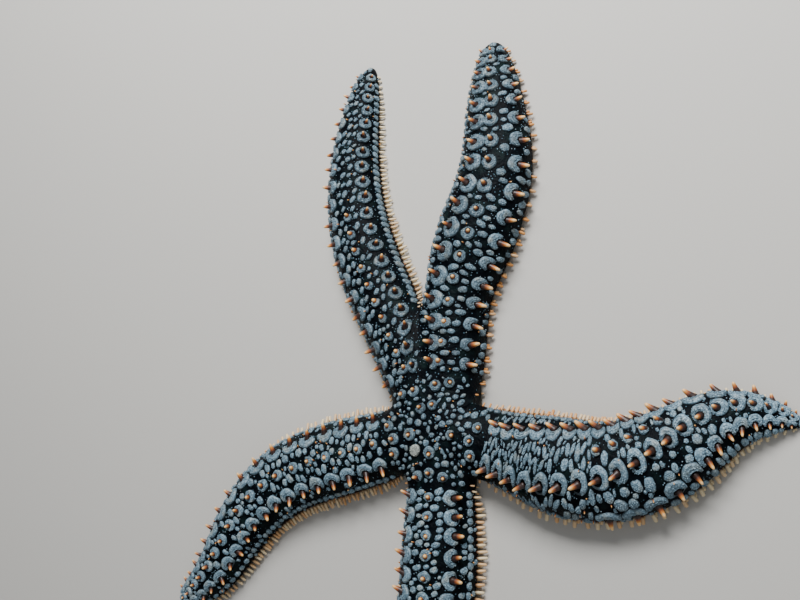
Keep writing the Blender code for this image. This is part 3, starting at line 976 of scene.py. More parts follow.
@dataclass(frozen=True)
class MottledSkinWithPaintedShade(Finish):
    """A finish between two colours: the dark one in furrows, folds and roots, as painted shade, the light one
    above them.
    """

    dark: str
    light: str
    grain: float
    """The size of the mottle's grains."""

    def paint(self, add: Callable[..., Socket]) -> tuple:
        """Mixes the two colours by 0.6 of the way along the piece, which paints shade at its root, and 0.8 of
        a fine noise, which is also the relief and so paints shade in its dips.

        Args:
            add: adds a node to the material.

        Returns:
            The colour and the height.
        """
        place = add("TexCoord", "Object")
        along = add("Attribute", "Fac", attribute_name="along")
        mottle = add("TexNoise", "Fac", {"Vector": place, "Scale": 1 / self.grain, "Detail": 3.0})
        fine = add("Math", 0, (mottle, 0.8), operation="MULTIPLY")
        mixed = add("Math", 0, (along, 0.6, fine), operation="MULTIPLY_ADD")
        return add("ValToRGB", "Color", (mixed,), ((0.35, self.dark), (0.85, self.light))), mottle


@dataclass(frozen=True)
class Card(Finish):
    """Matt card in one colour, which shows nothing but the shadows that fall on it."""

    name: str = "matt_card"
    colour: str = "#b9b7b2"
    roughness: float = 0.9

    def paint(self, add: Callable[..., Socket]) -> tuple:
        """The plain colour, and no height."""
        return linear(self.colour), None


# --- The skin ---


@dataclass(frozen=True)
class SkinCover:
    """The one skin over the disc and all the arms. Neighbouring arms share the points where they meet."""

    row_step: float = 1.0 * MM
    top_columns: int = 30
    wall_columns: int = 4
    sole_columns: int = 12
    swelling: float = 0.16 * MM
    """How far the skin bulges and sinks between the pads."""
    swelling_length: float = 3.2 * MM
    tip_rows: tuple[float, ...] = (2.2 * MM, 1.4 * MM, 0.8 * MM, 0.4 * MM, 0.15 * MM, 0.0)
    weld: float = 0.01 * MM

    def rows(self, arm: ArmShape, arms: list[ArmShape]) -> Array:
        """The distances along an arm at which its skin has points, all notches among them.

        Args:
            arm: the arm.
            arms: all the arms.

        Returns:
            The distances.
        """
        notches = [a.notch(side) for a in arms for side in (1, -1)]
        plain = np.arange(0.0, arm.plan.length - 3.0 * MM, self.row_step)
        tip = arm.plan.length - np.array(self.tip_rows)
        rows = np.unique(np.round(np.concatenate([plain, notches, tip]), 9))
        return rows[np.concatenate([[True], np.diff(rows) > 1e-7])]

    def sheets(self, arm: ArmShape, side: int, rows: Array) -> list[tuple[Array, Array]]:
        """The top, the wall and the sole of one side of an arm.

        The top runs over the shares from 0 to 1. The wall runs from the margin down to the foot, and begins
        at the notch. The sole runs from the foot back to the midline.

        Args:
            arm: the arm.
            side: 1 for its left and -1 for its right.
            rows: distances along the arm.

        Returns:
            For each sheet, its points and its places on the flat map.
        """
        s = rows[:, None]
        shares = np.linspace(0.0, 1.0, self.top_columns + 1)[None]
        top = arm.points(s, side * shares)
        top[..., 2] += self.swelling * ripple(top, self.swelling_length, 3) * (1.0 - shares**4)
        walled = s[rows >= arm.notch(side) - 1e-8]
        steps = np.linspace(0.0, 1.0, self.wall_columns + 1)[None]
        foot, edge = side * arm.foot(walled, side), arm.across(walled, np.array(float(side)))
        height = blend((arm.rise(walled, edge), arm.sole(walled, foot)), steps)
        wall = arm.place(walled, blend((edge, foot), steps**1.5), height)
        inward = 1.0 - np.linspace(0.0, 1.0, self.sole_columns + 1)[None] ** 0.8
        across = side * arm.foot(s, side) * inward
        sole = arm.place(s, across, arm.sole(s, across))
        return [
            (top, arm.unwrap(s, side * shares)),
            (wall, arm.unwrap(walled, side * (1.0 + 0.15 * steps))),
            (sole, arm.unwrap(s, side * (1.15 + 0.50 * (1.0 - inward)))),
        ]

    def build(self, arms: list[ArmShape], material: Material) -> None:
        """Joins all sheets into one closed skin.

        Args:
            arms: the arms.
            material: the skin's finish.
        """
        mesh = PieceMesh("skin")
        for arm in arms:
            rows = self.rows(arm, arms)
            for side in (1, -1):
                for sheet, flat in self.sheets(arm, side, rows):
                    weave = Weave(*sheet.shape[:2], Closing.SHEET, side)
                    mesh.add(weave, sheet.reshape(1, -1, 3), np.broadcast_to(flat, (*sheet.shape[:2], 2)))
        lengths = [f"{arm.plan.name}_{part}" for arm in arms for part in ("inner", "outer")]
        mesh.build(material, "skin", "disc", *lengths, weld=self.weld)


# --- Where the small pieces stand ---


class Packing:
    """The ground that is already taken, as ovals: along, across and half the size each way."""

    def __init__(self, taken: Array | None = None) -> None:
        """Args: taken: the ovals that are taken at first, if any."""
        self.taken = np.empty((0, 4)) if taken is None else taken

    def free(self, place: Array, gap: float) -> bool:
        """Whether an oval keeps its distance from all others: the sum of the squares stays over 1."""
        reach = self.taken[:, 2:] + place[2:] + gap
        return bool(np.hypot(*((self.taken[:, :2] - place[:2]) / reach).T).min(initial=2.0) >= 1.0)

    def take(self, place: Array) -> None:
        """Marks an oval as taken."""
        self.taken = np.vstack([self.taken, place])

    def fill(self, wanted: Array, gap: float, shares: tuple[float, ...] = (1.0, 0.88, 0.76)) -> Array:
        """Takes as many of the wanted ovals as fit, in order, smaller ones where there is less room.

        Args:
            wanted: ovals, as rows of along, across and the two half sizes.
            gap: the room between two ovals.
            shares: the sizes that are tried for each.

        Returns:
            The ovals that were taken.
        """
        kept = []
        for oval in wanted:
            for share in shares:
                tried = oval * (1.0, 1.0, share, share)
                if self.free(tried, gap):
                    self.take(tried)
                    kept.append(tried)
                    break
        return np.array(kept)

    def grow(self, ovals: Array, limits: Pair, gap: float) -> Array:
        """Lengthens and widens ovals that are already taken, as far as their neighbours leave room.

        Args:
            ovals: the ovals.
            limits: how many times longer and how many times wider one may become.
            gap: the room between two ovals.

        Returns:
            The ovals as they are now.
        """
        grown = []
        for oval in ovals:
            mine = (self.taken == oval).all(axis=1)
            others = Packing(self.taken[~mine])
            for axis, limit in zip((3, 2), reversed(limits)):
                for times in np.linspace(limit, 1.0, 6)[:-1]:
                    tried = oval.copy()
                    tried[axis] *= times
                    if others.free(tried, gap):
                        oval = tried
                        break
            self.taken[mine] = oval
            grown.append(oval)
        return np.array(grown)


@dataclass
class Rings:
    """Rings of pads, one array entry to a ring."""

    u: Array
    v: Array
    half_along: Array
    half_across: Array
    hole: Array
    gap: Array
    shift: Array
    opening: Array
    """The direction in which the ring is open, from along the arm towards its left."""
    side: Array
    """1 on the left, -1 on the right and 0 on the crest."""
    lean: Array
    """How far the ring's spine leans outwards."""
    sway: Array
    """How far the ring's spine leans along the arm."""
    spine: Array
    """How large the ring's spine is."""
    ripeness: Array
    """How much of the ring's spine is orange."""


@dataclass
class Ovals:
    """Plain pads, one array entry to a pad."""

    u: Array
    v: Array
    half_along: Array
    half_across: Array
    turn: Array


class Layout:
    """Where the rings and the plain pads of one arm, or of the disc, stand."""

    rings: Rings
    ovals: Ovals

    def __init__(self, name: str, ground: Surface) -> None:
        """Args: name: what its pieces are called after. ground: what they stand on."""
        self.name, self.ground, self.packing = name, ground, Packing()


class ArmLayout(Layout):
    """The layout of one arm. It is packed by the distances along the arm and round it from its crest."""

    START = 22.5 * MM
    STATION_STEP = 1.0 * MM
    INFILL_STEPS = 6
    INFILL_TRIES = 600
    SPECK_SIZE = 0.22 * MM
    SPECK_TRIES = 800

    def __init__(self, arm: ArmShape) -> None:
        """Measures the girth of arm and lays out everything on it."""
        super().__init__(arm.plan.name, arm)
        self.arm, self.shares = arm, np.linspace(-1.0, 1.0, 81)
        self.stations = np.arange(self.START - 4 * MM, arm.plan.length - 0.5 * MM, self.STATION_STEP)
        grid = arm.points(self.stations[:, None], self.shares[None])
        steps = np.linalg.norm(np.diff(grid, axis=1), axis=-1)
        girths = np.concatenate([np.zeros((len(steps), 1)), np.cumsum(steps, axis=1)], axis=1)
        self.girths = girths - girths[:, [len(self.shares) // 2]]
        self.rings = self.lay_rings()
        self.ovals = self.lay_ovals()
        self.specks = self.lay_specks()

    def girths_at(self, s: Array) -> Array:
        """The distances round the arm of all the shares, at the station nearest to s."""
        number = np.round((s - self.stations[0]) / self.STATION_STEP).astype(int)
        return self.girths[np.clip(number, 0, len(self.stations) - 1)]

    def share_at(self, s: Array, girth: Array) -> Array:
        """Turns distances round the arm from its crest to shares."""
        return np.array([np.interp(g, row, self.shares) for g, row in zip(girth, self.girths_at(s))])

    def girth_at(self, s: Array, share: Array) -> Array:
        """Turns shares to distances round the arm from its crest."""
        return np.array([np.interp(f, self.shares, row) for f, row in zip(share, self.girths_at(s))])

    def ovals_from(self, table: Array, turn: Array) -> Ovals:
        """Turns packed ovals to pads."""
        return Ovals(table[:, 0], self.share_at(table[:, 0], table[:, 1]), table[:, 2], table[:, 3], turn)

    def lay_rings(self) -> Rings:
        """One ring to a plate in each row of large spines, where the row has rings.

        Returns:
            The rings.
        """
        plan, found = self.arm.plan, []
        middles, lengths = self.arm.plates()
        for side, row in ((1, plan.left), (-1, plan.right), (0, plan.crest), (-1, plan.margin)):
            if row is None:
                continue
            keep = (middles > max(row.reach[0], self.START)) & (middles < row.reach[1])
            s, pitch = middles[keep], lengths[keep]
            share = (s - DISC_RADIUS) / (plan.length - DISC_RADIUS)
            s = s + RNG.uniform(-0.25, 0.25, len(s)) * MM
            looks = (row.lean, row.sway, row.spine, row.ripeness)
            along, across = blend(row.along, share), blend(row.across, share)
            half_along = 0.5 * pitch * along * RNG.uniform(0.92, 1.0, len(s))
            half_across = 0.5 * self.arm.taper(s) ** 0.45 * across * RNG.uniform(0.9, 1.06, len(s))
            girths = self.girths_at(s)
            room = np.minimum(girths[:, -1], -girths[:, 0])
            half_across = np.minimum(half_across, (0.30 if side else 0.22) * room)
            half_along = np.minimum(half_along, 1.35 * half_across)
            girth = self.girth_at(s, row.share_at(s)) + RNG.uniform(-0.3, 0.3, len(s)) * MM
            tilt = blend(row.tilt, share) + RNG.uniform(-0.25, 0.25, len(s))
            opening = side * (math.pi / 2 + tilt) if side else tilt
            gap = np.clip(blend(row.gap, share) + RNG.uniform(-0.25, 0.15, len(s)), 0.0, 1.0)
            hole = blend(row.hole, share) * RNG.uniform(0.85, 1.1, len(s))
            columns = [s, girth, half_along, half_across, hole, gap, blend(row.shift, share), opening, side]
            columns += [blend(look, share) for look in looks]
            found.append(np.stack(np.broadcast_arrays(*columns), axis=-1))
        table = np.concatenate(found)
        self.packing.take(table[:, :4])
        table[:, 1] = self.share_at(table[:, 0], table[:, 1])
        return Rings(*table.T)

    def lattice(self) -> Array:
        """Rows of ovals across the arm, each a little out of its place.

        Returns:
            The ovals.
        """
        plan, rows, s = self.arm.plan, [], self.START + 0.8 * MM
        while s < plan.length - 2.0 * MM:
            grown = smooth((s - DISC_RADIUS) / (plan.length - DISC_RADIUS) * 1.6)
            slim, size = blend(plan.slimness, grown), blend(plan.pad_size, grown)
            size *= 0.45 + 0.55 * self.arm.taper(s)
            long, wide = size / slim**0.5, size * slim**0.5
            low, high = self.girths_at(s)[[0, -1]]
            girth = np.arange(low + RNG.uniform(0, wide), high, 2 * wide + plan.pad_gap)
            spot = s + RNG.uniform(-0.35, 0.35, len(girth)) * long
            girth = girth + RNG.uniform(-0.3, 0.3, len(girth)) * wide
            scale = RNG.uniform(0.85, 1.18, (len(girth), 2))
            rows.append(np.column_stack([spot, girth, long * scale[:, 0], wide * scale[:, 1]]))
            s += 2 * long + plan.pad_gap
        return np.concatenate(rows)

    def lay_ovals(self) -> Ovals:
        """Rows of pads across the arm, between the rings, then smaller pads in the gaps that are left.

        Returns:
            The pads.
        """
        plan = self.arm.plan
        lattice = table = self.lattice()
        for size in np.linspace(1.0, plan.smallest_pad, self.INFILL_STEPS):
            extra = lattice[RNG.integers(0, len(lattice), self.INFILL_TRIES)] * (1.0, 1.0, size, size)
            extra[:, :2] += RNG.uniform(-3.0, 3.0, (len(extra), 2)) * MM
            table = np.concatenate([table, extra])
        s, girth = table[:, 0], table[:, 1]
        share, girths = self.share_at(s, girth), self.girths_at(s)
        ends = (DISC_RADIUS + 10 * MM, 0.6 * plan.length)
        left, right = (np.interp(s, ends, flank) for flank in (plan.left_flank, plan.right_flank))
        density = np.where(share > plan.left.share_at(s), left, 1.0)
        density = np.where(share < plan.right.share_at(s), right, density)
        lucky = RNG.uniform(0, 1, len(table)) < density
        edge = np.where(share > 0, girths[:, -1], -girths[:, 0])
        inside = edge - np.abs(girth) > table[:, 3] + 0.6 * MM
        within = (s > self.START) & (s + table[:, 2] < plan.length - 1.5 * MM)
        edge_pads = self.lay_edge_rows()
        pads = self.packing.fill(table[lucky & inside & within], plan.pad_gap)
        ovals = np.concatenate([edge_pads, self.packing.grow(pads, plan.pad_growth, plan.pad_gap)])
        return self.ovals_from(ovals, RNG.normal(plan.pad_turn, 0.16, len(ovals)))

    def lay_edge_rows(self) -> Array:
        """The row of pads just above each edge's spines, evenly spaced.

        Returns:
            The pads.
        """
        plan, found = self.arm.plan, []
        for side, line in zip((1, -1), plan.edge_rows):
            if line:
                s = np.arange(self.arm.notch(side) + 7 * MM, plan.length - 5 * MM, plan.edge_size[0])
                s = s + RNG.uniform(-0.15, 0.15, len(s)) * MM
                girth = self.girth_at(s, side * line * np.ones(len(s)))
                size = self.arm.taper(s) ** 0.6 * RNG.uniform(0.85, 1.1, len(s))
                long, wide = 0.46 * plan.edge_size[0] * size, 0.5 * plan.edge_size[1] * size
                found.append(np.column_stack([s, girth, long, wide]))
        return self.packing.fill(np.concatenate(found), 0.0, (1.0, 0.9, 0.8))

    def lay_specks(self) -> Ovals:
        """Single pincers that stand on the bare skin between the pads.

        Returns:
            The specks.
        """
        count = self.SPECK_TRIES
        s = RNG.uniform(self.START, self.arm.plan.length - 3 * MM, count)
        share = RNG.uniform(-0.97, 0.97, count)
        size = self.SPECK_SIZE * RNG.uniform(0.7, 1.2, count)
        wanted = np.column_stack([s, self.girth_at(s, share), size, size])
        specks = self.packing.fill(wanted, 0.10 * MM, (1.0,))
        return self.ovals_from(specks, np.zeros(len(specks)))


class DiscLayout(Layout):
    """The layout of the disc. It is packed by the distances from the disc's middle along X and Y."""

    REACH = 21.6 * MM
    RING_PLACES = ((16.5 * MM, 0.0), (18.0 * MM, 5.2 * MM), (18.0 * MM, -5.2 * MM), (9.0 * MM, 0.0))
    """How far along each arm and how far across it the rings stand."""
    PAD_SIZE = 1.22 * MM
    PAD_GAP = 0.26 * MM
    ROW_SHARE = 0.866
    """The distance from row to row of a honeycomb, as a share of that from pad to pad."""

    def __init__(self, disc: DiscShape, kept_clear: tuple[float, float, float]) -> None:
        """Lays out everything on the disc.

        Args:
            disc: the disc.
            kept_clear: the place and the size of the sieve plate.
        """
        super().__init__("disc", disc)
        self.disc = disc
        self.packing.take(np.array([*kept_clear, kept_clear[2]]))
        self.rings = self.lay_rings()
        self.ovals = self.lay_ovals()

    def lay_rings(self) -> Rings:
        """Small rings at the root of each arm and between it and the middle, where there is room.

        Returns:
            The rings.
        """
        table = []
        for arm in self.disc.arms:
            for along, across in self.RING_PLACES:
                if abs(across) > along * float(arm.tangent_at(np.array(across))) - 2.4 * MM:
                    across *= 0.62
                x = along * math.cos(arm.heading) - across * math.sin(arm.heading)
                y = along * math.sin(arm.heading) + across * math.cos(arm.heading)
                half = RNG.uniform(1.9, 2.5) * MM
                place = np.array([x, y, half, half])
                if self.packing.free(place, 0.2 * MM):
                    self.packing.take(place)
                    shape = (0.38, RNG.uniform(0.1, 0.9), 0.1, math.atan2(y, x))
                    table.append([*place, *shape, 0.0, 0.1, 0.0, 1.0, 0.0])
        return Rings(*np.array(table).T)

    def lay_ovals(self) -> Ovals:
        """Pads in a honeycomb that is shaken, each longer one way than the other.

        Returns:
            The pads.
        """
        pitch = 2 * self.PAD_SIZE + self.PAD_GAP
        across, along = np.meshgrid(np.arange(-16, 17) * pitch, np.arange(-18, 19) * pitch * self.ROW_SHARE)
        across = across + (np.arange(along.shape[0]) % 2)[:, None] * pitch / 2
        spots = np.column_stack([across.ravel(), along.ravel()])
        spots += RNG.uniform(-0.75, 0.75, spots.shape) * MM
        sizes = self.PAD_SIZE * RNG.uniform(0.5, 1.4, spots.shape)
        along, across = self.disc.sectors(*spots.T)[1:]
        on_body = (along + 0.9 * MM < self.REACH) & (np.abs(across) < BASE_HALF_WIDTH * 0.86)
        wanted = np.column_stack([spots, sizes])[on_body]
        ovals = self.packing.fill(wanted, self.PAD_GAP, (1.0, 0.8, 0.62, 0.5))
        return Ovals(*ovals.T, RNG.uniform(0, math.pi, len(ovals)))


# --- Pads of pincers ---


@dataclass
class Growth:
    """Something that grows all over an arm or the disc and makes one piece."""

    layout: Layout
    material: Material

    part = ""
    """What the piece is called, after the name of the arm or the disc."""

    def __post_init__(self) -> None:
        """Starts the piece."""
        self.mesh, self.ground = PieceMesh(f"{self.layout.name}_{self.part}"), self.layout.ground


@dataclass
class PadField(Growth):
    """The pads of tiny pincers that cover the spiny side: rings round the large spines and ovals between."""

    part = "pads"
    ring_weave: Weave = Weave(rows=10, columns=34, closing=Closing.RING)
    oval_weave: Weave = Weave(rows=4, columns=14)
    knob_weave: Weave = Weave(rows=1, columns=5)
    ring_height: float = 0.95 * MM
    thick_side: float = 0.08
    """How much wider a ring is on its closed side, as a share of its size."""
    oval_height: float = 0.70 * MM
    squareness: float = 2.4
    """The power of the ovals' outline: 2 is an ellipse and more is squarer."""
    oval_rows: tuple[Pair, ...] = ((0.92, -0.55), (1.0, 0.15), (0.86, 0.76), (0.50, 1.0))
    """How wide and how high an oval's rows of points are, as shares of its size and its height."""
    lanes: tuple[float, ...] = (-0.55, 0.0, 0.55)
    """Where the lines of knobs round a ring run, from the hole, -1, to the rim, 1."""
    knob_radius: float = 0.27 * MM
    knob_spacing: float = 0.70 * MM
    knob_reach: float = 0.86
    """How far from an oval's middle its knobs stand, as a share of its half size."""

    def wavy(self, angles: Array, count: int, orders: tuple[int, ...], depth: float) -> Array:
        """Uneven outlines: 1 plus cosines of whole multiples of the angle, each with a random depth.

        Args:
            angles: the directions.
            count: how many outlines.
            orders: the multiples.
            depth: the greatest depth.

        Returns:
            The outlines, as outlines by 1 by angles.
        """
        depths, phases = (RNG.uniform(0, most, (count, len(orders), 1)) for most in (depth, TAU))
        waves = depths * np.cos(np.array(orders)[:, None] * angles + phases)
        return 1.0 + waves.sum(axis=1, keepdims=True)

    def add_rings(self) -> None:
        """Adds rings: a band swept round an oval, its section a flat dome that thins at the opening.

        A point of the band lies at (1 + inner) / 2 + (1 - inner) / 2 * cos(section angle) of the oval's
        half size. The hole's edge, inner, is hole + shift * cos(angle to the opening).
        """
        rings, columns = self.layout.rings, self.ring_weave.columns
        around, section = circle(columns), math.pi + circle(self.ring_weave.rows)[None, :, None]
        half_along, half_across, hole, shift, gap, opening = (
            getattr(rings, name)[:, None, None]
            for name in ("half_along", "half_across", "hole", "shift", "gap", "opening")
        )
        facing = np.cos(around - opening)
        inner = np.clip(hole + shift * facing, 0.10, 0.85)
        middle, half = (1.0 + inner) / 2, (1.0 - inner) / 2
        outline = self.wavy(around, len(rings.u), (2, 3, 4, 5, 6), 0.035) - self.thick_side * facing
        whole = (1.0 - gap * smooth((facing - 0.05) / 0.75)) * (1.0 - 0.10 * facing)
        thinness = 0.35 + 0.65 * whole
        share = (middle + half * thinness * np.cos(section)) * outline
        up, lumps = np.sin(section), self.wavy(around, len(rings.u), (3, 5, 7), 0.05)
        height = self.ring_height * np.minimum(1.0, half_across / (2.6 * MM) + 0.25)
        dome = 1.30 * whole * lumps * np.maximum(up, 0.0) ** 0.55
        lift = height * (-0.30 + dome + 0.5 * np.minimum(up, 0.0))
        a, b = share * np.cos(around) * half_along, share * np.sin(around) * half_across
        self.lay(rings, self.ring_weave, (a, b, lift), height)

        lanes = np.array(self.lanes)[None, :, None]
        share = middle + half * lanes * thinness
        share = share + RNG.uniform(-0.05, 0.05, share.shape)
        angle = around + np.array([0.0, 0.5, 0.0])[None, :, None] * TAU / columns
        lift = height * (-0.30 + 1.28 * whole * np.sqrt(1.0 - lanes**2) ** 0.55)
        keep = (lift > 0.25 * MM) & (RNG.uniform(0, 1, lift.shape) < 0.8)
        a, b = share * np.cos(angle) * half_along, share * np.sin(angle) * half_across
        self.strew(rings, (a, b, lift), keep)

    def add_ovals(self) -> None:
        """Adds plain pads: domes with flat tops over uneven ovals, their pincers in a shaken honeycomb."""
        ovals, around = self.layout.ovals, circle(self.oval_weave.columns)
        count = len(ovals.u)
        corners = np.abs(np.cos(around)) ** self.squareness + np.abs(np.sin(around)) ** self.squareness
        outline = self.wavy(around, count, (2, 3, 4, 5), 0.07) * corners ** (-1 / self.squareness)
        shares, levels = np.array(self.oval_rows).T[:, None, :, None]
        long = shares * outline * np.cos(around) * ovals.half_along[:, None, None]
        wide = shares * outline * np.sin(around) * ovals.half_across[:, None, None]
        cosine, sine = np.cos(ovals.turn)[:, None, None], np.sin(ovals.turn)[:, None, None]
        a, b = long * cosine - wide * sine, long * sine + wide * cosine
        height = self.oval_height * np.clip(ovals.half_along / (0.9 * MM), 0.45, 1.15)[:, None, None]
        height = height * RNG.uniform(0.85, 1.15, (count, 1, 1))
        tops = height[:, 0, 0]
        lift = with_poles(np.broadcast_to(height * levels, a.shape), -0.55 * tops, 1.04 * tops)
        self.lay(ovals, self.oval_weave, (with_poles(a), with_poles(b), lift), height)

        steps = np.arange(-5, 6)
        rows, columns = (g.ravel() for g in np.meshgrid(steps, steps))
        a = columns * self.knob_spacing + (rows % 2) * self.knob_spacing / 2
        b = rows * self.knob_spacing * DiscLayout.ROW_SHARE
        a = a + RNG.uniform(-0.1, 0.1, (count, len(a))) * MM
        b = b + RNG.uniform(-0.1, 0.1, a.shape) * MM
        share = np.hypot(a / ovals.half_along[:, None], b / ovals.half_across[:, None])
        dome = np.interp(share, (0.0, 0.5, self.knob_reach, 1.0), (1.04, 1.0, 0.76, 0.15))
        lift = tops[:, None] * dome - 0.03 * MM
        cosine, sine = cosine[..., 0], sine[..., 0]
        a, b = a * cosine - b * sine, a * sine + b * cosine
        self.strew(ovals, (a, b, lift), share < self.knob_reach)

    def lay(self, pads: Rings | Ovals, weave: Weave, shape: tuple[Array, ...], height: Array) -> None:
        """Drapes flat pads over the ground, each with its own tone plus the painted light and shade of its
        ground.

        Args:
            pads: their places.
            weave: how their points join.
            shape: their points' distances along and across, and heights.
            height: how high each pad is.
        """
        count, ground = len(pads.u), self.ground
        a, b, lift = (values.reshape(count, -1) for values in shape)
        # The tone is the pad's own random tone plus painted light and shade.
        tone = RNG.uniform(0, 1, (count, 1)) + ground.painted_light_and_shade(pads.u)[:, None]
        # along runs up each pad from its foot and sets where its finish paints shade.
        along = np.clip(lift / height.reshape(count, 1), 0.0, 1.0)
        points, places = ground.drape(pads.u, pads.v, a, b, lift), ground.map_around(pads.u, pads.v, a, b)
        self.mesh.add(weave, points, places, tone=tone, along=along)

    def strew(self, pads: Rings | Ovals, spots: tuple[Array, Array, Array], keep: Array) -> None:
        """Adds pincer heads on pads: five-sided bumps.

        Args:
            pads: the pads.
            spots: the heads' distances along and across from the pads' middles, and their heights.
            keep: which of the heads are there.
        """
        a, b, lift = (values[keep] for values in spots)
        root, ground = np.nonzero(keep)[0], self.ground
        u, v = pads.u[root] + a, pads.v[root] + b / ground.spread(pads.u, pads.v)[root]
        # The tone is the pad's own random tone plus painted light and shade.
        tone = RNG.uniform(0, 1, len(pads.u))[root] + ground.painted_light_and_shade(u)
        turn = RNG.uniform(0, TAU, (len(u), 1)) + circle(self.knob_weave.columns)
        radius = self.knob_radius * RNG.uniform(0.8, 1.25, (len(u), 1))
        a, b = with_poles(radius * np.cos(turn)), with_poles(radius * np.sin(turn))
        rise = with_poles(np.full(turn.shape, 0.02 * MM), -0.1 * MM, radius[:, 0])
        points = ground.drape(u, v, a, b, lift[:, None] + rise)
        flat = np.stack([b, a], axis=-1) * (ROUGH_PATCH / 2 / self.knob_radius)
        places = ground.unwrap(u[:, None], v[:, None]) + flat
        # The heads' feet stand at 0.6 of the way up, so they take a little painted shade.
        along = with_poles(np.full((1, self.knob_weave.columns), 0.6), 0.6, 1.0)
        self.mesh.add(self.knob_weave, points, places, tone=tone[:, None], along=along)

    def build(self) -> None:
        """Makes all the pads."""
        self.add_rings()
        self.add_ovals()
        self.mesh.build(self.material, "skin")


@dataclass
class Specks(Growth):
    """Single pincers on the bare skin: small blunt bumps."""

    part = "pincers"
    weave: Weave = Weave(rows=2, columns=6)
    shares: Pair = (1.0, 0.85)
    """How wide the two circles are, as shares of the size."""
    levels: Pair = (-0.5, 1.0)
    """How high the two circles are."""
    ends: Pair = (-0.6, 1.7)
    """How high the bottom and the top are."""

    def build(self) -> None:
        """Makes the single pincers of one arm: two circles and a top."""
        specks, ground, around = self.layout.specks, self.ground, circle(self.weave.columns)
        shares = np.array(self.shares)[None, :, None] * specks.half_along[:, None, None]
        a, b = with_poles(shares * np.cos(around)), with_poles(shares * np.sin(around))
        levels = with_poles(np.repeat(self.levels, self.weave.columns)[None], *self.ends)
        lift = levels * specks.half_along[:, None] * RNG.uniform(0.8, 1.3, (len(specks.u), 1))
        flat = np.stack([b, a], axis=-1) * (ROUGH_PATCH / 2 / ArmLayout.SPECK_SIZE)
        places = ground.unwrap(specks.u, specks.v)[:, None] + flat
        points, tone = ground.drape(specks.u, specks.v, a, b, lift), RNG.uniform(0, 1, (len(specks.u), 1))
        # along sets the painted shade at each speck's foot.
        self.mesh.add(self.weave, points, places, tone=tone, along=np.clip(levels, 0.3, 1.0))
        self.mesh.build(self.material, "skin")


# --- Spines and feet ---


@dataclass(frozen=True)
class Spike:
    """The shape of a spine or a foot: a round shaft that narrows, its end rounded, and that may curve."""

    weave: Weave
    stations: tuple[float, ...]
    """Where its rows of points lie, from its root, 0, to its end, 1."""
    girths: tuple[float, ...]
    """How thick it is there, as a share of its thickness at the root."""
    curve: float
    """How far the end hangs down, as a share of the length."""
    patch: float
    """How wide its patch on the flat map is."""
    sink: float = 0.25 * MM
    """How far the root lies under the skin."""
    floor_gap: float = 0.05 * MM
    """How high over the floor its lowest points stay."""

    def add(
        self, mesh: PieceMesh, roots: Array, directions: Array, lengths: Array, radii: Array, *looks: Array
    ) -> None:
        """Adds spikes: circles of shrinking radius along a line that bends as the square of the way along it.

        Args:
            mesh: the piece that they are added to.
            roots: where they start, on the skin.
            directions: where they point.
            lengths: how long they are.
            radii: how thick they are at the root.
            looks: their roots' places on the flat map, and how light they are, from 0 to 1.
        """
        (places, tones), directions = looks, unit(directions)[:, None]
        around = circle(self.weave.columns)
        helper = np.where(np.abs(directions[..., 2:]) > 0.8, np.array([1.0, 0.0, 0.0]), UP)
        first = unit(np.cross(helper, directions))
        second = np.cross(directions, first)
        along = np.array(self.stations)[None, :, None]
        axis = roots[:, None] - directions * self.sink
        axis = axis + directions * along * (lengths[:, None, None] + self.sink)
        axis[..., 2] -= self.curve * lengths[:, None] * along[..., 0] ** 2
        rounds = first * np.cos(around)[:, None] + second * np.sin(around)[:, None]
        girth = radii[:, None] * np.array(self.girths)
        body = axis[:, :, None] + rounds[:, None] * girth[:, :, None, None]
        low = axis[:, :1] - directions * 0.1 * MM
        high = axis[:, -1:] + directions * girth[:, -1:, None] * 0.45
        points = np.concatenate([body.reshape(len(roots), -1, 3), low, high], axis=1)
        points[..., 2] = np.maximum(points[..., 2], self.floor_gap)
        shares = np.repeat(self.stations, len(around))
        flat = np.tile(np.stack([np.cos(around), np.sin(around)], axis=-1), (self.weave.rows, 1))
        flat = flat * (1.0 - 0.92 * shares)[:, None]
        flat = np.concatenate([flat, [[1.0, 0.0], [0.0, 0.0]]]) * self.patch / 2
        marks = {"tone": tones[:, None], "along": with_poles(shares[None], 0.0, 1.0)}
        mesh.add(self.weave, points, places[:, None] + flat, **marks)


LARGE_SPINE = Spike(
    Weave(7, 9), (0.0, 0.14, 0.34, 0.56, 0.76, 0.92, 0.985), (1.35, 1.16, 0.98, 0.80, 0.63, 0.48, 0.30),
    0.03, 0.009,
)
SMALL_SPINE = Spike(Weave(4, 6), (0.0, 0.35, 0.75, 0.97), (1.1, 0.9, 0.72, 0.34), 0.02, 0.006)
COMB_SPINE = Spike(Weave(5, 7), (0.0, 0.25, 0.6, 0.88, 0.98), (0.95, 1.0, 1.05, 1.0, 0.62), 0.06, 0.006)
GROOVE_SPINE = Spike(Weave(4, 5), (0.0, 0.4, 0.8, 0.97), (1.0, 0.95, 0.85, 0.45), 0.0, 0.004)
TUBE_FOOT = Spike(
    Weave(6, 8), (0.0, 0.45, 0.82, 0.88, 0.96, 1.0), (0.9, 0.8, 0.85, 1.35, 1.4, 1.2), 0.0, 0.004, sink=0.0
)


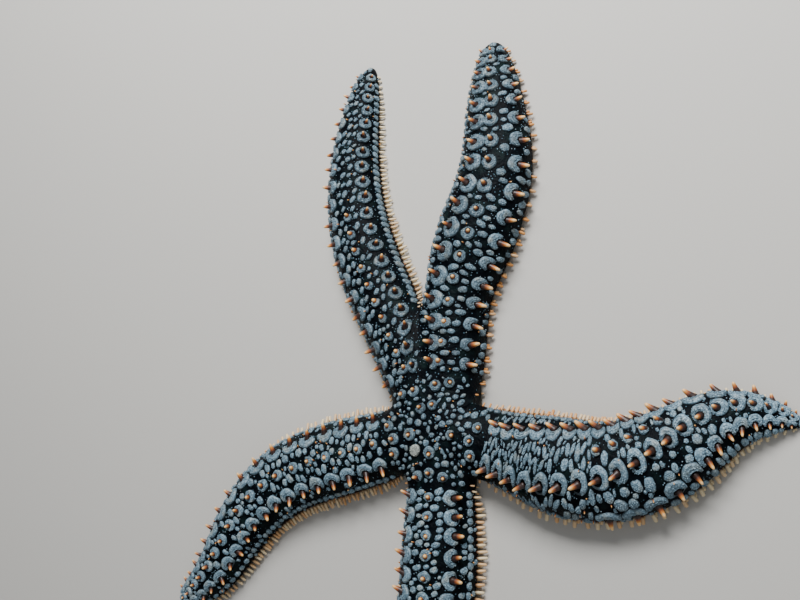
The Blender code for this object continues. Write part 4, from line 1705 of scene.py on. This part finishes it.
@dataclass
class SpineRows(Growth):
    """The large spines in their rings and the small ones between the pads of the spiny side."""

    part = "spines"
    upper_length: float = 4.4 * MM
    crest_lengths: Pair = (2.2 * MM, 3.7 * MM)
    disc_length: float = 2.6 * MM
    disc_size: float = 0.85
    radius: float = 1.08 * MM
    small_share: float = 0.16
    small_length: float = 1.8 * MM
    small_radius: float = 0.30 * MM

    def add_large(self) -> None:
        """Adds the spines that stand in the rings, each in its ring's hole."""
        ground, rings = self.ground, self.layout.rings
        count = len(rings.u)
        u = rings.u + rings.shift * rings.half_along * np.cos(rings.opening)
        shift = rings.shift * rings.half_across * np.sin(rings.opening)
        v = rings.v + shift / ground.spread(rings.u, rings.v)
        along, across, out = ground.axes(u, v)
        lean = (rings.lean + RNG.uniform(-0.2, 0.2, count))[:, None]
        side = np.where(rings.side == 0, RNG.choice([-1.0, 1.0], count), rings.side)[:, None]
        sway = rings.sway[:, None] + RNG.uniform(-0.2, 0.2, (count, 1))
        directions = out * np.cos(lean) + across * side * np.sin(lean) + along * sway
        if isinstance(ground, ArmShape):
            size = ground.taper(rings.u) ** 0.5
            crest = blend(self.crest_lengths, smooth(rings.u / ground.plan.length * 1.6 - 0.4))
            lengths = np.where(rings.side == 0, crest, self.upper_length) * size
        else:
            size, lengths = np.full(count, self.disc_size), np.full(count, self.disc_length)
        lengths = lengths * rings.spine * RNG.uniform(0.85, 1.08, count)
        places = ground.unwrap(u[:, None], v[:, None])[:, 0]
        radii = self.radius * size * rings.spine**1.5 * RNG.uniform(0.9, 1.1, count)
        tones = rings.ripeness + RNG.uniform(0, 1, count)
        LARGE_SPINE.add(self.mesh, ground.points(u, v), directions, lengths, radii, places, tones)

    def add_small(self) -> None:
        """Adds the spines that stand beside some of the plain pads."""
        ground, ovals = self.ground, self.layout.ovals
        chosen = np.nonzero(RNG.uniform(0, 1, len(ovals.u)) < self.small_share)[0]
        count, u, v = len(chosen), ovals.u[chosen], ovals.v[chosen]
        side = RNG.choice([-1.0, 1.0], count)
        v = v + side * (ovals.half_across[chosen] + 0.2 * MM) / ground.spread(u, v)
        along, across, out = ground.axes(u, v)
        directions = out + across * side[:, None] * 0.5 + along * RNG.uniform(-0.3, 0.3, (count, 1))
        lengths = self.small_length * RNG.uniform(0.7, 1.15, count)
        radii = self.small_radius * RNG.uniform(0.85, 1.15, count)
        places = ground.unwrap(u[:, None], v[:, None])[:, 0]
        tones = RNG.uniform(0, 1, count)
        SMALL_SPINE.add(self.mesh, ground.points(u, v), directions, lengths, radii, places, tones)

    def build(self) -> None:
        """Makes all the spines."""
        self.add_large()
        self.add_small()
        self.mesh.build(self.material, None)


@dataclass
class EdgeCombs(Growth):
    """The blunt spines that stand out along both edges of an arm, in two rows, the lower one shorter."""

    part = "combs"
    start: float = 3.5 * MM
    """How far beyond the notch the combs begin."""
    length: float = 3.7 * MM
    shortest: float = 0.9 * MM
    lower_share: float = 0.6
    """The length of the lower row, as a share of that of the upper one."""
    radius: float = 0.56 * MM
    droops: Pair = (0.42, 0.147)
    """How far the upper and the lower row hang."""
    line: float = 0.975
    """The share at which the upper row stands."""

    def add_row(self, side: int, comb: Comb, lower: int) -> None:
        """Adds one row of spines along one edge.

        Args:
            side: 1 for its left and -1 for its right.
            comb: how the spines look.
            lower: 1 for the lower row and 0 for the upper one.
        """
        arm, notch = self.ground, self.ground.notch(side)
        first = notch + self.start + lower * comb.pitch * comb.stagger
        s = np.arange(first, arm.plan.length - 2.5 * MM, comb.pitch)
        s = s + RNG.uniform(-0.10, 0.10, len(s)) * comb.pitch
        size = arm.taper(s) ** 0.5 * (0.35 + 0.65 * smooth((s - notch) / (14 * MM)))
        if lower:
            across = side * (0.35 * arm.foot(s, side) + 0.65 * arm.half_width(s))
            height = arm.sole(s, side * arm.foot(s, side)) * 0.65 + 0.35 * MARGIN_SHARE * arm.height(s)
        else:
            across = arm.across(s, side * np.full(len(s), self.line))
            height = arm.rise(s, across)
        droop = self.droops[lower] + RNG.uniform(-0.12, 0.12, len(s))
        ends = (notch, arm.plan.length)
        own = np.interp(s, ends, comb.length) * (self.lower_share if lower else 1.0)
        lengths = self.length * size * own * RNG.uniform(0.85, 1.12, len(s))
        room = s * arm.tangents[side] - arm.half_width(s)
        lengths = np.minimum(lengths, np.maximum(0.8 * room, self.shortest))
        steepest = np.clip((height - 0.55 * MM) / lengths, 0.02, 0.9)
        droop = np.minimum(droop, np.arcsin(steepest) * 0.85)[:, None]
        forward, left = arm.directions(s)
        directions = side * left * np.cos(droop) + forward * RNG.uniform(-0.16, 0.16, (len(s), 1))
        directions = directions - UP * np.sin(droop)
        places = arm.unwrap(s, side * (1.10 if lower else self.line) * np.ones(len(s)))
        tones = np.clip(np.interp(s, ends, comb.paleness) + RNG.uniform(-0.25, 0.25, len(s)), 0.0, 1.0)
        radii = self.radius * comb.girth * size**0.6
        COMB_SPINE.add(self.mesh, arm.place(s, across, height), directions, lengths, radii, places, tones)

    def build(self) -> None:
        """Makes the combs of one arm."""
        for side, comb in ((1, self.ground.plan.left_comb), (-1, self.ground.plan.right_comb)):
            for lower in (0, 1):
                self.add_row(side, comb, lower)
        self.mesh.build(self.material, None)


def column(side: int, across: Array) -> Array:
    """Where on the flat map something on the mouth side is: further out, the nearer to the groove."""
    return side * (1.65 - 0.45 * across / BASE_HALF_WIDTH)


@dataclass
class GrooveSpines(Growth):
    """The fine spines along an arm's groove, splayed so that they lie almost flat, and those of its jaw."""

    part = "groove_spines"
    pitch: float = 1.9 * MM
    rows: tuple[float, ...] = (0.5 * MM, 2.0 * MM, 4.6 * MM)
    """How far from the groove's edge the rows of spines are."""
    length: float = 2.3 * MM
    radius: float = 0.33 * MM
    splays: Pair = (-0.6, 1.0)
    """How far the spines of the first row lean over the groove, and how far the others lean away from it."""
    jaw_rows: tuple[float, ...] = (4.8 * MM, 6.3 * MM, 7.9 * MM, 9.6 * MM)
    """How far from the mouth's middle the pairs of spines on a jaw are."""
    jaw_length: float = 2.7 * MM

    def slope(self, level: Array, roots: Array, lengths: Array, steepest: float) -> Array:
        """Turns level directions down by the steepest share, or less where an end would touch the floor."""
        fall = np.clip((roots[:, 2] - self.radius - 0.1 * MM) / lengths, 0.02, steepest)[:, None]
        return level * np.sqrt(1.0 - fall**2) - UP * fall

    def add_jaw(self) -> None:
        """Adds the spines of the jaw to the arm's left: pairs that point in over the mouth."""
        arm = self.ground
        rng, half = np.random.default_rng(arm.index), math.atan(arm.tangents[1])
        away = np.repeat(self.jaw_rows, 2)
        aside = np.tile((1.0, -1.0), len(self.jaw_rows)) * away * 0.26 * min(1.0, arm.tangents[1] / 0.77)
        s = away * math.cos(half) + aside * math.sin(half)
        across = away * math.sin(half) - aside * math.cos(half)
        roots = arm.place(s, across, arm.sole(s, across))
        lengths = self.jaw_length * rng.uniform(0.85, 1.1, len(s))
        inward = -np.array([math.cos(arm.heading + half), math.sin(arm.heading + half), 0.0])
        directions = self.slope(inward, roots, lengths, 0.75)
        directions = directions + rng.uniform(-0.12, 0.12, (len(s), 1)) * np.cross(UP, inward)
        places, radii = arm.unwrap(s, np.full(len(s), 1.45)), np.full(len(s), 1.25 * self.radius)
        GROOVE_SPINE.add(self.mesh, roots, directions, lengths, radii, places, rng.uniform(0.3, 1, len(s)))

    def build(self) -> None:
        """Makes the spines of one arm."""
        arm = self.ground
        for side in (1, -1):
            for row, away in enumerate(self.rows):
                s = np.arange(11.0 * MM + row * 0.6 * MM, arm.plan.length - 4 * MM, self.pitch)
                s = s + RNG.uniform(-0.2, 0.2, len(s)) * MM
                edge = np.minimum(GROOVE_HALF_WIDTH, 0.3 * arm.half_width(s))
                across = edge + away * arm.taper(s) ** 0.6
                keep = across + 0.8 * MM < arm.foot(s, side)
                s, across = s[keep], across[keep]
                roots = arm.place(s, side * across, arm.sole(s, across))
                forward, left = arm.directions(s)
                lengths = self.length * arm.taper(s) ** 0.5 * RNG.uniform(0.8, 1.1, len(s))
                splay = self.splays[min(row, 1)] + RNG.uniform(-0.2, 0.2, (len(s), 1))
                level = unit(side * left * splay + forward * RNG.uniform(-0.35, 0.35, (len(s), 1)))
                directions = self.slope(level, roots, lengths, 0.5)
                places, radii = arm.unwrap(s, column(side, across)), self.radius * arm.taper(s) ** 0.4
                tones = RNG.uniform(0.3, 1, len(s))
                GROOVE_SPINE.add(self.mesh, roots, directions, lengths, radii, places, tones)
        self.add_jaw()
        self.mesh.build(self.material, None)


@dataclass
class TubeFeet(Growth):
    """Four rows of tube feet, each from the roof of the groove down to its sucker on the floor."""

    part = "tube_feet"
    pitch: float = 2.2 * MM
    rows: Pair = (0.9 * MM, 2.35 * MM)
    """How far from the midline the rows on each side are."""
    radius: float = 0.52 * MM
    floor_gap: float = 0.06 * MM

    def build(self) -> None:
        """Makes the tube feet of one arm."""
        arm = self.ground
        for side in (1, -1):
            for row, across in enumerate(self.rows):
                s = np.arange(8.5 * MM + row * self.pitch / 2, arm.plan.length - 5 * MM, self.pitch)
                s = s + RNG.uniform(-0.15, 0.15, len(s)) * MM
                size = np.minimum(1.0, 0.3 * arm.half_width(s) / GROOVE_HALF_WIDTH)
                roots = arm.place(s, side * across * size, arm.sole(s, across * size))
                directions = np.column_stack([RNG.uniform(-0.12, 0.12, (len(s), 2)), -np.ones(len(s))])
                lengths = roots[:, 2] - self.floor_gap - self.radius * 0.3
                radii = self.radius * np.maximum(size, 0.4)
                places, tones = arm.unwrap(s, column(side, across)), RNG.uniform(0, 1, len(s))
                # The tube-foot finish paints shade at each foot's root, where along is 0.
                TUBE_FOOT.add(self.mesh, roots, directions, lengths, radii, places, tones)
        self.mesh.build(self.material, "skin")


# --- Sieve plate, mouth and tips of the arms ---


@dataclass(frozen=True)
class SievePlate:
    """The sieve plate: a low round button with furrows that run out from its middle."""

    material: Material
    weave: Weave = Weave(rows=14, columns=64)
    radius: float = 2.35 * MM
    height: float = 0.75 * MM
    rooting: float = 0.6 * MM
    """How far its rim goes down into the skin."""
    furrows: int = 13
    furrow_depth: float = 0.22 * MM

    def build(self, disc: DiscShape, u: float, v: float) -> None:
        """Makes the button: a dome whose height dips with the cosine of the furrow number times the angle.

        Args:
            disc: the disc that it sits on.
            u: its place along X from the disc's middle.
            v: its place along Y.
        """
        around, share = circle(self.weave.columns)[None], np.linspace(1.0, 0.06, self.weave.rows)[:, None]
        twist = around + 0.5 * np.sin(5 * share + 2 * around)
        ridge = np.cos(self.furrows * twist) * smooth((share - 0.1) / 0.3) * smooth((1.0 - share) / 0.12)
        lift = self.height * (1.0 - share**4) ** 0.5 + self.furrow_depth * ridge
        lift = np.where(share > 0.999, -self.rooting, lift)
        edge = self.radius * share * (1.0 + 0.05 * np.cos(2 * around + 0.6) + 0.04 * np.cos(3 * around + 2.0))
        a, b = (with_poles((edge * turn)[None]) for turn in (np.cos(around), np.sin(around)))
        lift = with_poles(lift[None], -self.rooting, self.height)
        root = (np.array([u]), np.array([v]))
        out = disc.axes(*root)[2][:, None]
        east = unit(np.cross(np.array([0.0, 1.0, 0.0]), out))
        north = np.cross(out, east)
        points = disc.points(*root)[:, None] + east * a[..., None] + north * b[..., None]
        points = points + out * (lift[..., None] + 0.12 * MM)
        places = 0.5 + np.stack([a, b], axis=-1) / self.radius * 0.4
        # along is low in the furrows, where the finish paints shade.
        along = np.clip(with_poles((ridge * 0.5 + 0.5)[None], 0.0, 0.5), 0, 1)
        mesh = PieceMesh("sieve_plate")
        mesh.add(self.weave, points, places, tone=np.array([0.5]), along=along)
        mesh.build(self.material, "madreporite", "madreporite")


@dataclass(frozen=True)
class Mouth:
    """The soft skin round the mouth, with folds that run into a small closed opening."""

    material: Material
    weave: Weave = Weave(rows=16, columns=60)
    upper_rows: int = 4
    folds: int = 10
    fold_depth: float = 0.14 * MM
    opening: float = 0.28
    """How wide the opening is, as a share of the cushion."""
    lip_height: float = 0.5 * MM

    def build(self) -> None:
        """Makes a flat cushion: a lip round the opening, and folds that fade towards the rim."""
        low, high = (np.array(corner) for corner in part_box("mouth"))
        centre, radius, top = (low + high) / 2, (high[0] - low[0]) / 2, high[2] - 0.1 * MM
        around, lower_rows = circle(self.weave.columns)[None], self.weave.rows - self.upper_rows
        outward, inward = np.linspace(0.0, 1.0, self.upper_rows + 1)[1:], np.linspace(1.0, 0.05, lower_rows)
        share = np.concatenate([outward, inward])[:, None]
        fade = smooth(share / 0.5) * smooth((1.0 - share) / 0.3)
        lip = self.lip_height * np.exp(-(((share - self.opening) / 0.16) ** 2))
        pit = self.lip_height * np.exp(-((share / 0.12) ** 2))
        under = low[2] + 0.35 * MM - lip * 0.6 - np.cos(self.folds * around) * self.fold_depth * fade + pit
        z = np.where(np.arange(self.weave.rows)[:, None] < self.upper_rows, top, under)
        x, y = centre[0] + radius * share * np.cos(around), centre[1] - radius * share * np.sin(around)
        ends = ((centre[0],) * 2, (centre[1],) * 2, (top, low[2] + 0.85 * MM))
        points = np.stack([with_poles(values[None], *end) for values, end in zip((x, y, z), ends)], axis=-1)
        places = 0.5 + (points[..., :2] - centre[:2]) / radius * 0.4
        # along is low towards the middle, where the finish paints shade round the opening.
        along = with_poles(np.broadcast_to(share, x.shape)[None])
        mesh = PieceMesh("mouth_skin")
        mesh.add(self.weave, points, places, tone=np.array([0.5]), along=along)
        mesh.build(self.material, "mouth", "mouth")


@dataclass(frozen=True)
class Ball:
    """The size and the place of one of the two balls at the end of an arm."""

    half: tuple[float, float, float]
    """Its half sizes along the arm, across it and upwards."""
    back: float
    """How far its middle lies behind the arm's end."""
    height: float
    """How high its middle lies."""
    roughness: float
    """How uneven it is, as a share of its size."""


@dataclass(frozen=True)
class ArmTip:
    """The end of an arm: the last plate, a small knuckle, and the red eyespot below it."""

    arm: ArmShape
    plate_material: Material
    eye_material: Material
    weave: Weave = Weave(rows=9, columns=20)
    plate: Ball = Ball((1.5 * MM, 1.45 * MM, 1.2 * MM), 1.75 * MM, 1.75 * MM, 0.06)
    eye: Ball = Ball((0.55 * MM, 0.62 * MM, 0.42 * MM), 0.75 * MM, 0.85 * MM, 0.0)

    def add_ball(self, part: str, ball: Ball) -> PieceMesh:
        """Makes a ball: rows of points at even angles between its two poles.

        Args:
            part: what the piece is called after the arm's name.
            ball: the ball.

        Returns:
            The mesh.
        """
        arm, mesh = self.arm, PieceMesh(f"{self.arm.plan.name}_{part}")
        height = np.linspace(-0.5, 0.5, self.weave.rows + 2)[1:-1, None] * math.pi
        around, ends = circle(self.weave.columns)[None], (-1.0, 1.0)
        x, y = np.cos(height) * np.cos(around), np.cos(height) * np.sin(around)
        z = with_poles(np.broadcast_to(np.sin(height), x.shape)[None], *ends)
        out = np.stack([with_poles(x[None]), with_poles(y[None]), z], axis=-1)[0]
        swell = 1.0 + ball.roughness * ripple(out, 1.1, 7)
        local = out * np.array(ball.half) * swell[:, None]
        s, middle = np.array(arm.plan.length - ball.back), np.array(0.0)
        angle = float(np.interp(s, arm.table, arm.angles))
        points = local @ np.array(Matrix.Rotation(angle, 3, "Z")).T + arm.place(s, middle, ball.height)
        places = arm.unwrap(s, middle) + out[:, :2] * (0.35 + 0.1 * out[:, 2:]) * 0.02
        # along is 0 on the lower half of each ball, where both finishes paint shade, and 1 at the top.
        marks = {"tone": np.array([0.5]), "along": np.clip(out[:, 2], 0, 1)}
        mesh.add(self.weave, points[None], places[None], **marks)
        return mesh

    def build(self) -> None:
        """Makes the last plate and the eyespot."""
        self.add_ball("last_plate", self.plate).build(self.plate_material, "skin")
        self.add_ball("eyespot", self.eye).build(self.eye_material, "eyespot", f"{self.arm.plan.name}_eye")


# --- The room ---


@dataclass(frozen=True)
class Lamp:
    """A square soft lamp that faces straight down."""

    name: str
    place: tuple[float, float, float]
    size: float
    power: float


@dataclass(frozen=True)
class Studio:
    """A pale floor, soft lamps and the camera, which looks down at the disc with the arms away from it."""

    floor_half: float = 3.0
    lamps: tuple[Lamp, ...] = (
        Lamp("key", (0.58, 0.14, 0.56), 0.42, 17.4),
        Lamp("fill", (-0.50, -0.55, 0.70), 0.9, 2.2),
    )
    """A lamp beyond the arms, and a weaker one on the other side."""
    sky_colour: str = "#c8cdd2"
    sky_strength: float = 0.30
    aim_height: float = 8.0 * MM
    distance: float = 0.4224
    tilt_degrees: float = 30.0
    swing_degrees: float = -18.0
    aim_degrees: Pair = (2.085, -6.746)
    """How far to the right of the camera's axis and how far above it the middle of the disc is seen."""
    lens: float = 49.45
    sensor: float = 36.0
    clip: Pair = (0.01, 20.0)

    def build(self) -> None:
        """Makes the floor, the lamps, the world and the camera."""
        self.lay_floor()
        self.hang_lamps()
        self.set_camera(np.array([*middle_of(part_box("mouth"))[:2], self.aim_height]))

    def lay_floor(self) -> None:
        """Makes the floor."""
        mesh, h = bpy.data.meshes.new("floor"), self.floor_half
        mesh.from_pydata([(-h, -h, 0), (h, -h, 0), (h, h, 0), (-h, h, 0)], [], [(0, 1, 2, 3)])
        mesh.materials.append(Card().material())
        floor = new_object("floor", mesh)

    def hang_lamps(self) -> None:
        """Makes the lamps and an even sky."""
        for lamp in self.lamps:
            light = bpy.data.lights.new(lamp.name, "AREA")
            light.size, light.energy = lamp.size, lamp.power
            new_object(lamp.name, light).location = lamp.place
        world = bpy.data.worlds.new("sky")
        world.use_nodes = True
        sky = {"Color": linear(self.sky_colour), "Strength": self.sky_strength}
        feed(world.node_tree, world.node_tree.nodes["Background"], sky)
        bpy.context.scene.world = world

    def set_camera(self, middle: Array) -> None:
        """Sets the camera up: tilted off straight down, swung round, and turned on its own axis.

        Args:
            middle: the middle of the disc, which it is aimed beside.
        """
        tilt, swing = math.radians(self.tilt_degrees), math.radians(self.swing_degrees)
        level = np.array([math.cos(swing), math.sin(swing), 0.0])
        axis = UP * math.cos(tilt) - level * math.sin(tilt)
        second = -unit(UP - axis * (UP @ axis))
        view = np.column_stack([np.cross(second, axis), second, axis])
        aim = [math.tan(math.radians(angle)) for angle in self.aim_degrees]
        seen = unit(np.array([*aim, -1.0])) * self.distance
        camera = bpy.data.cameras.new("camera")
        camera.lens, camera.sensor_width = self.lens, self.sensor
        camera.clip_start, camera.clip_end = self.clip
        placed = Matrix(view.T.tolist()).to_4x4()
        placed.translation = Vector(middle - view.T @ seen)
        made = new_object("camera", camera)
        made.matrix_world = placed
        bpy.context.scene.camera = made


def main() -> None:
    """Builds the model in order, then the room, and logs how many nodes there are to cover and each piece's
    faces.
    """
    logging.basicConfig(level=logging.INFO, format="%(name)s: %(message)s")
    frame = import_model()
    LOG.info("%d nodes to cover", len(frame["nodes"]))
    centre = middle_of(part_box("mouth"))[:2]
    sieve = middle_of(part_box("madreporite"))[:2] - centre
    arms = [ArmShape(plan, index, centre) for index, plan in enumerate(ARM_PLANS)]
    disc = DiscShape(arms, centre)

    pad_look, comb_look, spine_look = PincerPads().material(), CombHorn().material(), SpineHorn().material()
    # These finishes are darker in their furrows, folds and roots: painted shade.
    foot_look, eye_look, lime, lips = (
        MottledSkinWithPaintedShade(dark, light, grain * MM, name=name, relief=relief * MM, roughness=rough).material()
        for name, dark, light, grain, relief, rough in (
            ("tube_foot_skin", "#a58b5e", "#d8c9a4", 0.8, 0.04, 0.4),
            ("eyespot_pigment", "#7a1410", "#b8301f", 0.25, 0.02, 0.35),
            ("sieve_plate_lime", "#4a5453", "#a4aba4", 0.5, 0.05, 0.6),
            ("mouth_skin", "#5c4632", "#a8926f", 0.9, 0.10, 0.45),
        )
    )
    SkinCover().build(arms, LivingSkin().material())
    disc_layout = DiscLayout(disc, (*sieve, 2.9 * MM))
    PadField(disc_layout, pad_look).build()
    SpineRows(disc_layout, spine_look).build()
    for arm in arms:
        layout = ArmLayout(arm)
        PadField(layout, pad_look).build()
        SpineRows(layout, spine_look).build()
        Specks(layout, pad_look).build()
        EdgeCombs(layout, comb_look).build()
        GrooveSpines(layout, comb_look).build()
        TubeFeet(layout, foot_look).build()
        ArmTip(arm, pad_look, eye_look).build()
    SievePlate(lime).build(disc, *sieve)
    Mouth(lips).build()
    Studio().build()


if __name__ == "__main__":
    main()
